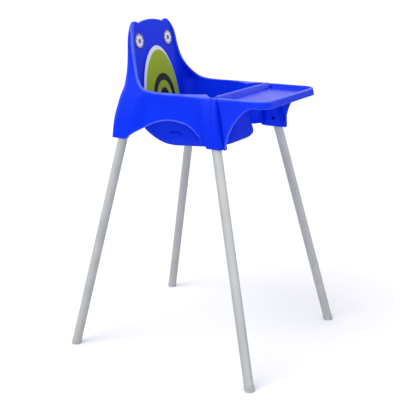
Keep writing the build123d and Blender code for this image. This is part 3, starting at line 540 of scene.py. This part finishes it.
def printed_roundel_film(name, white, violet, dark):
    """Printed vinyl film: an eight-petalled flower with a dark and lime centre, on a violet ground with a
    dark edge."""
    material, tree, shader, place = new_material(name)
    x, _, z = add(tree, "SeparateXYZ", (place,)).node.outputs
    x = add(tree, "SUBTRACT", (add(tree, "ABSOLUTE", (x,)), ROUNDEL_X * MM))
    z = add(tree, "SUBTRACT", (z, ROUNDEL_Z * MM))
    squares = [add(tree, "MULTIPLY", (side, side)) for side in (x, z)]
    reach = add(tree, "SQRT", (add(tree, "ADD", squares),))
    angle = add(tree, "ARCTAN2", (z, x))
    lobes = add(tree, "COSINE", (add(tree, "MULTIPLY", (angle, 4.0)),))
    swell = add(tree, "MULTIPLY", (add(tree, "ABSOLUTE", (lobes,)), PETAL_SWELL))
    length = add(tree, "ADD", (swell, PETAL_LOW))
    petal = add(tree, "MULTIPLY", (length, MM))
    edge = add(tree, "DIVIDE", (reach, petal))
    mask = add(tree, "MapRange", (edge, 1.0, 0.96, 0, 1))
    colour = add(tree, "Mix", {0: mask, 6: violet, 7: white}, **RGBA)
    for (none, full), ink in zip(ROUNDEL_RINGS, (dark, linear("#89a002"), dark)):
        mask = add(tree, "MapRange", (reach, none * MM, full * MM, 0, 1))
        colour = add(tree, "Mix", {0: mask, 6: colour, 7: ink}, **RGBA)
    feed(tree, shader, {
        "Base Color": colour,
        "Roughness": drift(tree, place, 8, 3, 0.24, 0.34),
        "Coat Weight": 0.3,
        "Normal": grain(tree, place, 6, 0.02, 0.15)})
    return material


def matt_floor(name):
    """Pale matt studio board with the faintest unevenness of tone."""
    material, tree, shader, place = new_material(name)
    tone = {0: drift(tree, place, 900, 2), 6: linear("#fafafa"), 7: linear("#f8f8f8")}
    feed(tree, shader, {"Base Color": add(tree, "Mix", tone, **RGBA), "Roughness": 0.9})
    return material


# ---- settings
class ChairSizes(bpy.types.PropertyGroup):
    """Sizes that a user would change."""

    wall: FloatProperty(name="Wall", description="Wall of the moulded plastic, in millimetres", default=3.0,
                        min=1.5, max=4.5)
    web_thickness: FloatProperty(name="Webbing", description="Thickness of the webbing, in millimetres",
                                 default=1.4, min=0.8, max=2.5)


class ChairColours(bpy.types.PropertyGroup):
    """Colours that a user would change."""

    shell: FloatVectorProperty(name="Shell", description="Pigment of the shell and tray", subtype="COLOR",
                               size=4, min=0, max=1, default=linear("#0030ea"))
    lime: FloatVectorProperty(name="Label", description="Main ink of the back label", subtype="COLOR",
                              size=4, min=0, max=1, default=linear("#8fab02"))
    webbing: FloatVectorProperty(name="Webbing", description="Thread of the harness", subtype="COLOR",
                                 size=4, min=0, max=1, default=linear("#26282d"))


def once(make, *values, name=None):
    """A material, made when first needed; its name is its maker's unless another is given."""
    name = name or make.__name__
    return bpy.data.materials.get(name) or make(name, *values)


def chair_plastic(name, rough_low, rough_high, gloss):
    """Polypropylene in the chair's own pigment."""
    pigment = tuple(bpy.context.scene.chair_colours.shell)
    # The paler blue #6c86fb is the painted highlight along rims, beads and lips.
    return once(moulded_polypropylene, pigment, linear("#0029dc"), linear("#6c86fb"), rough_low, rough_high,
                gloss, name=name)


def shell_plastic():
    """The shell's material."""
    return chair_plastic("moulded_polypropylene", 0.32, 0.40, 0.2)


def tray_plastic():
    """The tray's material: the same pigment, with a glossier polished mould."""
    return chair_plastic("polished_polypropylene", 0.24, 0.34, 0.36)


def shell_part(name, grids):
    """A mesh of the shell's plastic, which stands for part of the seat_shell node."""
    return make_piece(name, grids, shell_plastic(), FRAME_BODY, ["seat_shell"])


def dress(node, material):
    """Gives a CAD node its material."""
    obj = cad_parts[node]
    obj.data.materials.clear()
    obj.data.materials.append(material)


# ---- the shell's grids
def rim_path():
    """The shell's outer shoulder as q and height, over level arms, the wings' sweep, an ear and half the
    hump, and the q at which each line ends below."""
    knots = np.array(RIM_SIDE, float)
    chord = grow(knots)
    at = np.linspace(0, chord[-1], 1500)
    y, z = smooth(at, (chord, knots[:, 0])), smooth(at, (chord, knots[:, 1]))
    dy, dz = np.gradient(y), np.gradient(z)
    size = np.hypot(dy, dz)
    y, z = y + CROWN_HEIGHT * dz / size, z - CROWN_HEIGHT * dy / size
    start_y = smooth(z, COLUMN_FRONT) + smooth(z, COLUMN_ROUND)
    q = 4 + (y - start_y) / (smooth(z, REAR_CREASE) - start_y)
    q = 4 + (q - 4) / (q[-1] - 4)
    ear = np.linspace(EAR_RISE[0][0], EAR_RISE[0][-1], 700)[1:]
    hump = np.linspace(HUMP_RISE[0][0], HUMP_RISE[0][-1], 700)[1:]
    q = np.concatenate([q, ear, hump])
    z = np.concatenate([z, smooth(ear, EAR_RISE), smooth(hump, HUMP_RISE)])
    # The lines that end on a wing or an ear start evenly spread round the rear corner at arm height.
    first, last = np.argmax(z > ARM_TOP + 3), np.argmax(q > 6)
    climb = grow(outer(q, z)[first:last])
    span = np.linspace(q[first], 6, 400)
    round_corner = grow(outer(span, np.full_like(span, ARM_TOP)))
    q_low = q.copy()
    q_low[first:last] = np.interp(climb / climb[-1] * round_corner[-1], round_corner, span)
    metric = grow(outer(q, z), outer(q_low, lower_edge(q_low)) * 0.7)
    return spaced([q, z, q_low], metric, 170)


def inner_b(q, z, y):
    """The b of the tub's shoulder opposite each point of the outer shoulder."""
    back, radius = tub_back(z), smooth(z, TUB_REAR_ROUND)
    corner_y = TUB_FRONT + TUB_CORNER
    b_start = front_b(OPENING_OUTER, ARM_TOP - CROWN_HEIGHT)
    near = b_start + (2 - b_start) * (y - TRAY_LINE) / (corner_y - TRAY_LINE)
    side = 2 + (y - corner_y) / (back - radius - corner_y)
    bend = 3 + 2 / math.pi * np.arcsin(np.clip((y - back + radius) / radius, 0, 1))
    b = np.where(y < corner_y, near, np.where(y < back - radius, side, bend))
    # On the steep wing the lines spread evenly over the corner, so that no two fall together.
    zone = np.flatnonzero((y > back - radius) & (q < 5))
    step = grow(np.stack([y[zone], z[zone]], -1))
    b[zone] = b[zone[0]] + (3.86 - b[zone[0]]) * step / step[-1]
    return np.where(q > 5, np.where(q < 6, 3.86 + 0.14 * (q - 5), q - 2), b)


def tub_warp(b, w):
    """Keeps the lines beside the leg opening upright as the tub narrows, and lets the rest ease back."""
    b_start = front_b(OPENING_OUTER, ARM_TOP - CROWN_HEIGHT)
    lead = front_b(OPENING_OUTER, np.maximum(w, TUB_KNEE)) - b_start
    return b + lead * (1 - ease((b - b_start) / 0.95))


def opening_top(x):
    """Top edge of the tub's front: a post, then a leg opening with round lower corners."""
    width = OPENING_OUTER - POST_HALF
    inside = np.clip(np.minimum(x - POST_HALF, width - (x - POST_HALF)), 0, OPENING_ROUND)
    low = OPENING_LOW + OPENING_ROUND - np.sqrt(OPENING_ROUND ** 2 - (OPENING_ROUND - inside) ** 2)
    return np.where(x <= POST_HALF, TRAY_SEAT, low)


def wall_levels(top):
    """Levels down the tub for each line: its wall, then its round lower edge down to the seat."""
    bend = SEAT_LOW + TUB_ROUND * (1 - np.sin(np.linspace(math.asin(0.206), math.pi / 2, 11)))
    wall = top[None, :] + (bend[0] - top[None, :]) * np.linspace(0, 1, 27)[:, None]
    return np.concatenate([wall, np.repeat(bend[1:, None], len(top), axis=1)])


def shell_grids():
    """Grids that meet along their edges, the skirt with its rolled rim, a column cap and the tub, and the
    painted highlight share of the first."""
    q, z_top, q_low = rim_path()
    z_low = lower_edge(q_low)
    shoulder = outer(q, z_top)
    b = inner_b(q, z_top, shoulder[:, 1])
    levels = wall_levels(z_top)
    tub_rows = tub(tub_warp(b[None, :], levels), levels)
    inner = tub_rows[0]

    # Skirt: from the lower edge, with a small bead, up to the shoulder; above the arms a line leans from
    # q_low to q.
    beads = np.array([0.0, 1.0, 2.0, 3.2, 5.0])
    share = np.linspace(0, 1, 34)[1:, None]
    heights = np.concatenate([z_low + beads[:, None], z_low + 5 + (z_top - z_low - 5) * share])
    above = ease((heights - ARM_TOP) / np.maximum(z_top - ARM_TOP, 1.0))
    skirt = outer(q_low + (q - q_low) * above, heights)
    lift = np.exp(-((heights - z_low - 1.8) / 1.6) ** 2) * ease((z_low - SHELL_BOTTOM) / 12) * 1.1
    out = np.stack([np.where(q_low < 5, 1.0, 0.0), np.where(q_low > 6, 1.0, 0.0), 0 * q], -1)
    skirt = skirt + out[None] * lift[..., None]

    # Rim: a quarter round at each shoulder and a flat between, square to the rim's run.
    reach = shoulder - inner
    width = np.linalg.norm(reach, axis=1, keepdims=True)
    side = reach / width
    run = np.gradient((shoulder + inner) / 2, axis=0)
    up = np.cross(side, run)
    up /= np.linalg.norm(up, axis=1, keepdims=True)
    turn = np.linspace(0, math.pi / 2, 6)[:, None, None]
    rise = CROWN_HEIGHT * np.sin(turn) * up
    draw = np.minimum(CROWN_HEIGHT, width / 2) * (1 - np.cos(turn)) * side
    rim = np.concatenate([shoulder - draw + rise, (inner + draw + rise)[::-1]])

    # Column cap under the tray, with the step up to the arm at its rear.
    q_cap = np.concatenate([np.linspace(0, 1, 4), np.linspace(1, 2, 6)[1:], np.linspace(2, 3, 5)[1:],
                            np.linspace(3, 4, 6)[1:], np.linspace(4, q[0], 5)[1:]])
    cap_edge = outer(q_cap, np.full_like(q_cap, TRAY_SEAT))
    cap_heights = SHELL_BOTTOM + (TRAY_SEAT - SHELL_BOTTOM) * np.linspace(0, 1, 38)[:, None] + 0 * q_cap[None]
    cap_skirt = outer(q_cap[None, :], cap_heights)
    t = ((q[0] - q_cap) / q[0])[:, None]
    far = np.array([inner[0, 0], inner[0, 1], TRAY_SEAT])
    cap_back = shoulder[0] * (1 - t) + far * t
    cap_back[:, 2] = TRAY_SEAT
    inward = cap_edge + (cap_back - cap_edge) * np.linspace(0, 1, 6)[:, None, None]
    step = np.repeat(cap_back[None], 5, axis=0)
    step[..., 2] = np.linspace(TRAY_SEAT, ARM_TOP, 6)[1:, None]
    cap = np.concatenate([cap_skirt, inward[1:], step])

    # Front of the tub: the post and the lower edge of the leg openings.
    x = np.concatenate([np.linspace(0, POST_HALF, 12), POST_HALF + np.array([1.2, 2.5, 5, 8, 12, 17, 22]),
                        np.linspace(72, 90, 6), OPENING_OUTER - np.array([22, 17, 12, 8, 5, 2.5, 1.2])])
    front_levels = wall_levels(opening_top(x))
    front = tub(front_b(x[None, :], np.maximum(front_levels, TUB_KNEE)), front_levels)
    bowl = np.concatenate([front, tub_rows], axis=1)
    middle = np.array([0.0, -10.0, SEAT_LOW + SEAT_TILT * (SEAT_REAR + 10)])
    shrink = np.linspace(1, 0, 11)[1:, None, None]
    bowl = np.concatenate([bowl, middle + (bowl[-1] - middle) * shrink])

    outside = np.concatenate([skirt, rim[1:]])
    # Painted highlight: shares of the pale blue along the arches' bead and over the rolled rim.
    highlight_share = np.zeros(outside.shape[:2])
    highlight_share[:5] = np.array(BEAD_PAINTED_HIGHLIGHT)[:, None] * ease((z_low - SHELL_BOTTOM) / 12)
    highlight_share[len(skirt) - 1:] = np.array(RIM_PAINTED_HIGHLIGHT)[:, None]
    return outside, cap, bowl, highlight_share


# ---- operators
class CHAIR_OT_stage(bpy.types.Operator):
    """Pale floor, soft studio light and the camera"""

    bl_idname = "chair.stage"
    bl_label = "Stage"

    def execute(self, context):
        scene = context.scene
        scene.view_settings.view_transform = "Standard"
        mesh = bpy.data.meshes.new("floor")
        corners = [(x * FLOOR_HALF, y * FLOOR_HALF, 0) for x, y in ((-1, -1), (1, -1), (1, 1), (-1, 1))]
        mesh.from_pydata(corners, [], [(0, 1, 2, 3)])
        floor = bpy.data.objects.new("floor", mesh)
        scene.collection.objects.link(floor)
        mesh.materials.append(once(matt_floor))
        floor.visible_glossy = False
        world = bpy.data.worlds.new("studio")
        scene.world = world
        world.use_nodes = True
        tree = world.node_tree
        # White above; below the horizon, only seen in reflections, a dark studio.
        height = add(tree, "SeparateXYZ", (add(tree, "TexCoord", out="Generated"),), 2)
        level = add(tree, "MapRange", (height, -0.12, 0.1, 0.0, 1.0), interpolation_type="SMOOTHSTEP")
        sky = add(tree, "Mix", {0: level, 6: linear("#3c404a"), 7: linear("#fbfbff")}, **RGBA)
        feed(tree, tree.nodes["Background"], {"Color": sky, "Strength": STUDIO_STRENGTH})
        sun = bpy.data.lights.new("soft_key", "SUN")
        sun.energy, sun.angle = SUN_STRENGTH, math.radians(SUN_SPREAD)
        key = bpy.data.objects.new("soft_key", sun)
        key.rotation_euler = Vector(SUN_RUN).to_track_quat("-Z", "Y").to_euler()
        scene.collection.objects.link(key)
        data = bpy.data.cameras.new("camera")
        data.lens, data.sensor_width = LENS_MM, SENSOR_MM
        camera = bpy.data.objects.new("camera", data)
        azimuth, elevation = math.radians(CAMERA_AZIMUTH), math.radians(CAMERA_ELEVATION)
        back = Vector((math.sin(azimuth) * math.cos(elevation), -math.cos(azimuth) * math.cos(elevation),
                       math.sin(elevation)))
        camera.location = CAMERA_PLACE
        camera.rotation_euler = (-back).to_track_quat("-Z", "Y").to_euler()
        scene.collection.objects.link(camera)
        scene.camera = camera
        return {"FINISHED"}


class CHAIR_OT_shell(bpy.types.Operator):
    """The one-piece seat shell: skirt, arms, wings, columns and tub"""

    bl_idname = "chair.shell"
    bl_label = "Seat shell"

    def execute(self, context):
        outside, cap, bowl, highlight_share = shell_grids()
        # The painted highlight share, mirrored with the grid.
        highlight_share = both_halves(np.repeat(highlight_share[..., None], 3, axis=2))[..., 1]
        grids = [(both_halves(outside), False, highlight_share), *pair(cap), (both_halves(bowl, closed=True), True)]
        thicken(shell_part("shell_moulding", grids), context.scene.chair_sizes.wall)
        self.webs(context)
        self.noses()
        self.sockets()
        return {"FINISHED"}

    def webs(self, context):
        """Front webs between tub and column: upright sheets that leave the tub's wall on a parabola, with a
        lower edge that dips towards the column."""
        u, v = np.meshgrid(np.linspace(0, 1, 14), np.linspace(0, 1, 18))
        low = WEB_LOW - WEB_DIP * u
        z = low + (ARM_TOP - 4 - low) * v
        inner_x = 104 + 13 * ease((z - 616) / 12)
        inner_y = tub(front_b(inner_x, z), z)[..., 1] - 1.0
        outer_x = smooth(z, COLUMN_INSIDE) + 5
        y = WEB_Y + (inner_y - WEB_Y) * (1 - u) ** 2
        web = np.stack([inner_x + (outer_x - inner_x) * u, y, z], -1)
        thicken(shell_part("front_webs", pair(web)), context.scene.chair_sizes.wall, 0.8)

    def noses(self):
        """Front ends of the arms beside the tray: the outline's corner carried up, rolled over and back
        down."""
        q = np.linspace(3.0, 4.06, 22)
        into = inward(math.pi / 2 * (np.clip(q - 3, 0, 1) - 1))
        rows = [outer(q, np.full_like(q, z)) for z in NOSE_LEVELS]
        angle = np.linspace(0.25, math.pi / 2, 6)
        roll = [(NOSE_DRAW * (1 - math.cos(a)), NOSE_RISE * math.sin(a)) for a in angle]
        nose = np.array(rows + [rows[-1] + into * d + [0, 0, h] for d, h in roll + NOSE_RETURN])
        # The nose's roll carries a painted highlight.
        shell_part("arm_noses", pair(nose, NOSE_PAINTED_HIGHLIGHT))

    def sockets(self):
        """Sleeves inside the columns: level rings round each leg's axis."""
        grids = []
        for foot, mouth in FEET.values():
            for side in (LEFT, RIGHT):
                base, axis, spoke = leg_spokes(foot, mouth, side, 32)
                rings = [level_ring(base, axis, spoke, radius, z) for radius, z in SLEEVE]
                grids.append((np.array(rings), True))
        shell_part("leg_sockets", grids)


def leg_spokes(foot, mouth, side, count):
    """A leg's foot point, its direction and a fan of unit spokes square to it."""
    base = np.array([side * foot[0], foot[1], foot[2]])
    top = np.array([side * mouth[0], mouth[1], mouth[2]])
    axis = (top - base) / np.linalg.norm(top - base)
    e1 = np.cross(axis, [0.0, 1.0, 0.0])
    e1 /= np.linalg.norm(e1)
    a = around(count)[:, None]
    return base, axis, np.cos(a) * e1 + np.sin(a) * np.cross(axis, e1)


def level_ring(base, axis, spoke, radius, z):
    """A ring round a leg whose points are slid along it to one height."""
    ring = spoke * radius
    along = (z - base[2] - ring[:, 2]) / axis[2]
    return base + ring + along[:, None] * axis


def arch_share(x, z):
    """0 in the middle of the raised arch and 1 on its outline."""
    up = np.maximum(z - PAD_SPRING, 0) / (PAD_TOP - PAD_SPRING)
    return np.sqrt((x / PAD_HALF) ** 2 + up ** 2)


def arch_grid(scale, low, lift):
    """The crowned arch: lines across it whose ends steepen, standing out of the back by a superellipse."""
    height = PAD_TOP - PAD_SPRING
    dome = PAD_SPRING + height * scale * np.sin(np.linspace(0, math.pi / 2, 40))
    a = np.concatenate([np.linspace(low, PAD_SPRING, 8)[:-1], dome])
    up = np.maximum(a - PAD_SPRING, 0) / height
    half = PAD_HALF * np.sqrt(np.clip(scale ** 2 - up ** 2, 0, 1))
    u = np.sin(np.linspace(-math.pi / 2, math.pi / 2, 61))
    x, z = half[:, None] * u[None, :], np.repeat(a[:, None], 61, axis=1)
    rise = PAD_RAISE * np.sqrt(np.clip(1 - np.minimum(arch_share(x, z), 1) ** 5, 0, 1))
    return np.stack([x, back_y(z) + 0.6 - rise - lift, z], -1)


class CHAIR_OT_back(bpy.types.Operator):
    """The raised arch of the back, its printed film and the two roundels"""

    bl_idname = "chair.back"
    bl_label = "Back arch and films"

    def execute(self, context):
        shell_part("back_arch", [(arch_grid(1.0, ARCH_LOW, 0.0), False)])
        lime = tuple(context.scene.chair_colours.lime)
        film = once(printed_back_film, lime, linear("#d9dcea"), linear("#08090b"))
        face = arch_grid(LABEL_SCALE, LABEL_LOW, 0.5)
        label = make_piece("back_label_film", [(face, False)], film, FRAME_BODY, ["back_label"])
        thicken(label, 0.35)
        film = once(printed_roundel_film, linear("#e4e2f2"), linear("#8f86bd"), linear("#1a1c3a"))
        a, r = np.meshgrid(around(64), np.linspace(0, 1, 12))
        for side, name in ((LEFT, "left"), (RIGHT, "right")):
            x = side * ROUNDEL_X + ROUNDEL_R * r * np.cos(a)
            z = ROUNDEL_Z + ROUNDEL_R * r * np.sin(a)
            disc = np.stack([x, back_y(z) - 0.55 - 0.5 * (1 - r ** 4), z], -1)
            piece = make_piece("roundel_film_" + name, [(disc, True)], film, FRAME_BODY,
                               ["roundel_" + name], flip=True)
            thicken(piece, 0.5)
        return {"FINISHED"}


def tray_grids():
    """The tray's sheet, with its arched skirt, lip, rolled rim, well and floor as one grid for the left half,
    then the skirt's return along the column, and the sheet's painted highlight share."""
    # Lines on the side run from the arch below to the rim above; the first one is the skirt's rear edge.
    t = np.linspace(1, 0, 34)
    arch_y = np.linspace(SKIRT_ARCH[0][0], SKIRT_ARCH[0][-1], 400)
    arch_z = smooth(arch_y, SKIRT_ARCH)
    metric = grow(np.stack([arch_y, arch_z], -1))
    low_y, low_z = (np.interp(t * metric[-1], metric, v) for v in (arch_y, arch_z))
    low_y = np.where(t > 0.985, -159.2, low_y)
    shoulder_z = ARM_TOP - TRAY_ROLL
    rear_y = smooth(shoulder_z, COLUMN_FRONT) - 0.5
    high_y = -224 + (rear_y + 224) * t
    v = np.linspace(0, 1, 22)[:, None]
    y = low_y + (high_y - low_y) * v
    z = low_z + (shoulder_z - low_z) * v
    side = np.stack([smooth(z, SKIRT_WIDTH), y, z], -1)
    # Round the front corner and across the front.
    b = np.concatenate([np.linspace(2, 1, 14)[1:], np.linspace(1, 0, 10)[1:]])
    z = TRAY_LIP + (shoulder_z - TRAY_LIP) * v + 0 * b
    half = smooth(z, SKIRT_WIDTH)
    x, y = half_outline(b + 0 * z, half, TRAY_FRONT - (half - 160), -108, TRAY_CORNER, 4)
    skirt = np.concatenate([side, np.stack([x, y, z], -1)], axis=1)
    edge = skirt[-1]
    # Inward direction in plan along the edge.
    into = inward(math.pi / 2 * (np.clip(np.concatenate([np.full(len(t), 2.0), b]) - 1, 0, 1) - 1))
    angle = np.linspace(0, math.pi / 2, 6)[1:]
    roll = [(3.5 * (1 - math.cos(a)), TRAY_ROLL * math.sin(a)) for a in angle]
    drop = TRAY_ROLL - (ARM_TOP - TRAY_FLOOR)
    well = [(4.2, 4.0), (5.4, 3.4), (6.2, 2.0), (7.0, -2.0), (7.6, -5.5), (8.6, drop + 0.9), (10.4, drop)]
    rows = [edge + into * d + [0, 0, h] for d, h in roll + well]
    last = rows[-1]
    centre = np.array([0.0, -121.0, TRAY_FLOOR])
    floor = [centre + (last - centre) * s for s in np.linspace(1, 0, 14)[1:]]
    sheet = np.concatenate([skirt, np.array(rows), np.array(floor)])
    # Painted highlight along the lip and the rolled rim.
    highlight_share = np.zeros(len(sheet))
    highlight_share[:3], highlight_share[21:33] = LIP_PAINTED_HIGHLIGHT, ROLL_PAINTED_HIGHLIGHT
    # Return flange, inward along the skirt's rear edge.
    back_flange = np.stack([skirt[:, 0] - [d, 0, 0] for d in np.linspace(FLANGE_WIDTH, 0, 6)], axis=1)
    return sheet, back_flange, highlight_share


class CHAIR_OT_tray(bpy.types.Operator):
    """The lift-off tray with its skirts and the bar across the lap"""

    bl_idname = "chair.tray"
    bl_label = "Tray"

    def execute(self, context):
        sheet, flange, highlight_share = tray_grids()
        tray = make_piece("tray_moulding", [(both_halves(sheet), False, highlight_share), *pair(flange)], tray_plastic(),
                          TRAY_BODY, ["tray"], flip=True)
        thicken(tray, context.scene.chair_sizes.wall - 0.4)
        # Bar: one profile in (y, z) carried from side to side, drawn in at its ends.
        profile = np.array(BAR_PROFILE)
        end_x, end_pull = np.array(BAR_ENDS).T
        x = np.concatenate([-end_x, np.linspace(-148, 148, 40), end_x[::-1]])
        pull = np.concatenate([end_pull, np.zeros(40), end_pull[::-1]])[:, None, None]
        section = profile[None] + (np.array(BAR_MIDDLE) - profile[None]) * pull
        bar = np.concatenate([np.repeat(x[:, None, None], len(profile), axis=1), section], -1)
        make_piece("tray_lap_bar", [(bar, True)], tray_plastic(), TRAY_BODY, ["tray"],
                   flip=True)
        return {"FINISHED"}


class CHAIR_OT_legs(bpy.types.Operator):
    """The four tubes, their end caps and their screws"""

    bl_idname = "chair.legs"
    bl_label = "Legs"

    def execute(self, context):
        metal = once(anodised_aluminium)
        cap = once(plain_plastic, linear("#b4b6b6"), linear("#a6a8a9"), 0.5, 0.7, name="moulded_polyethylene")
        for end, (foot, mouth) in FEET.items():
            for side, name in ((LEFT, "left"), (RIGHT, "right")):
                dress(f"leg_{end}_{name}", metal)
                self.foot(f"{end}_{name}", foot, mouth, side, cap)
        dress("leg_screws", once(blackened_steel))
        return {"FINISHED"}

    def foot(self, name, foot, mouth, side, material):
        """An end cap: rings round the leg's axis, flat on the floor, straight, then rounded onto the tube."""
        base, axis, spoke = leg_spokes(foot, mouth, side, 48)
        rows = [level_ring(base, axis, spoke, radius, lift) for radius, lift in FOOT_LOW]
        rows += [base + spoke * radius + axis * height for radius, height in FOOT_HIGH]
        make_piece("foot_cap_" + name, [(np.array(rows), True)], material, FRAME_BODY,
                   ["foot_" + name])


def bent_line(points, cut, count=9):
    """A route whose corners are replaced by parabolas that start and end at most cut from them."""
    points = np.array(points, float)
    line = [points[0]]
    t = np.linspace(0, 1, count)[:, None]
    for before, corner, after in zip(points[:-2], points[1:-1], points[2:]):
        d1, d2 = before - corner, after - corner
        room = min(cut, 0.45 * np.linalg.norm(d1), 0.45 * np.linalg.norm(d2))
        p1 = corner + d1 / np.linalg.norm(d1) * room
        p2 = corner + d2 / np.linalg.norm(d2) * room
        line.extend((1 - t) ** 2 * p1 + 2 * t * (1 - t) * corner + t * t * p2)
    line.append(points[-1])
    return np.array(line)


def seat_place(points):
    """From (across, along, above the seat) to the chair's own axes."""
    points = np.asarray(points, float)
    across, along, above = (points[..., k:k + 1] for k in range(3))
    return SEAT_ORIGIN + across * [1.0, 0.0, 0.0] + along * SEAT_V + above * SEAT_W


def band(points, across, cut, thick):
    """A webbing band: a flat superellipse section carried along a bent route, with its UV in millimetres."""
    line = bent_line(points, cut)
    keep = np.concatenate([[True], np.linalg.norm(np.diff(line, axis=0), axis=1) > 1e-6])
    line = line[keep]
    at = grow(line)
    fine = np.linspace(0, at[-1], max(24, int(at[-1] / 1.5)))
    line = np.stack([np.interp(fine, at, line[:, k]) for k in range(3)], -1)
    run = np.gradient(line, axis=0)
    run /= np.linalg.norm(run, axis=1, keepdims=True)
    across = np.array(across, float)
    face = np.cross(run, across)
    a = around(28)
    wide = BAND_HALF * np.sign(np.cos(a)) * np.abs(np.cos(a)) ** BAND_ROUND
    deep = thick / 2 * np.sign(np.sin(a)) * np.abs(np.sin(a)) ** BAND_ROUND
    grid = line[:, None] + wide[None, :, None] * across + deep[None, :, None] * face[:, None]
    uv = np.stack([fine[:, None] + 0 * a, wide[None, :] + 0 * fine[:, None]], -1)
    return seat_place(grid), uv


class CHAIR_OT_harness(bpy.types.Operator):
    """The lap harness: three webbing straps, the buckle, its tongues and button, and two adjusters"""

    bl_idname = "chair.harness"
    bl_label = "Harness"

    def execute(self, context):
        thread = tuple(context.scene.chair_colours.webbing)
        # The near-black is the painted shade between the threads.
        weave = once(polyester_webbing, linear("#0b0c0e"), thread)
        thick = context.scene.chair_sizes.web_thickness
        for side, name in ((LEFT, "left"), (RIGHT, "right")):
            line = [(side * u, v, w) for u, v, w in LAP_LINE]
            grid, uv = band(line, (0, 1, 0), LAP_BEND, thick)
            make_piece("lap_webbing_" + name, [(grid, True)], weave, FRAME_BODY,
                       ["lap_strap_" + name], flip=side == RIGHT, uv=uv)
        grid, uv = band(CROTCH_LINE, (1, 0, 0), CROTCH_BEND, thick)
        make_piece("crotch_webbing", [(grid, True)], weave, FRAME_BODY, ["crotch_strap"],
                   uv=uv, flip=True)
        acetal = once(plain_plastic, linear("#222428"), linear("#17181b"), 0.42, 0.6, name="moulded_acetal")
        red = once(plain_plastic, linear("#b8201a"), linear("#a01812"), 0.35, 0.6, name="red_acetal")
        for node in ("harness_buckle", "buckle_tongue_left", "buckle_tongue_right", "strap_adjuster_left",
                     "strap_adjuster_right"):
            dress(node, acetal)
        dress("strap_anchor_bars", shell_plastic())
        dress("buckle_button", red)
        return {"FINISHED"}


class CHAIR_PT_panel(bpy.types.Panel):
    """Lists the steps that build the chair"""

    bl_idname = "CHAIR_PT_panel"
    bl_label = "High chair"
    bl_space_type = "VIEW_3D"
    bl_region_type = "UI"
    bl_category = "High chair"

    def draw(self, context):
        layout = self.layout
        for group in (context.scene.chair_sizes, context.scene.chair_colours):
            for key in group.__annotations__:
                layout.prop(group, key)
        for step in STEPS:
            layout.operator(step.bl_idname)


STEPS = (CHAIR_OT_stage, CHAIR_OT_shell, CHAIR_OT_back, CHAIR_OT_tray, CHAIR_OT_legs, CHAIR_OT_harness)
CLASSES = (ChairSizes, ChairColours, *STEPS, CHAIR_PT_panel)


def register():
    """Adds the classes and the scene's settings."""
    for cls in CLASSES:
        bpy.utils.register_class(cls)
    bpy.types.Scene.chair_sizes = PointerProperty(type=ChairSizes)
    bpy.types.Scene.chair_colours = PointerProperty(type=ChairColours)


def unregister():
    """Takes them away again."""
    del bpy.types.Scene.chair_colours
    del bpy.types.Scene.chair_sizes
    for cls in reversed(CLASSES):
        bpy.utils.unregister_class(cls)


def main():
    """Registers the add-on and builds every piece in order."""
    register()
    for step in STEPS:
        group, name = step.bl_idname.split(".")
        if getattr(getattr(bpy.ops, group), name)() != {"FINISHED"}:
            raise RuntimeError(step.bl_idname + " did not finish")


if __name__ == "__main__":
    main()
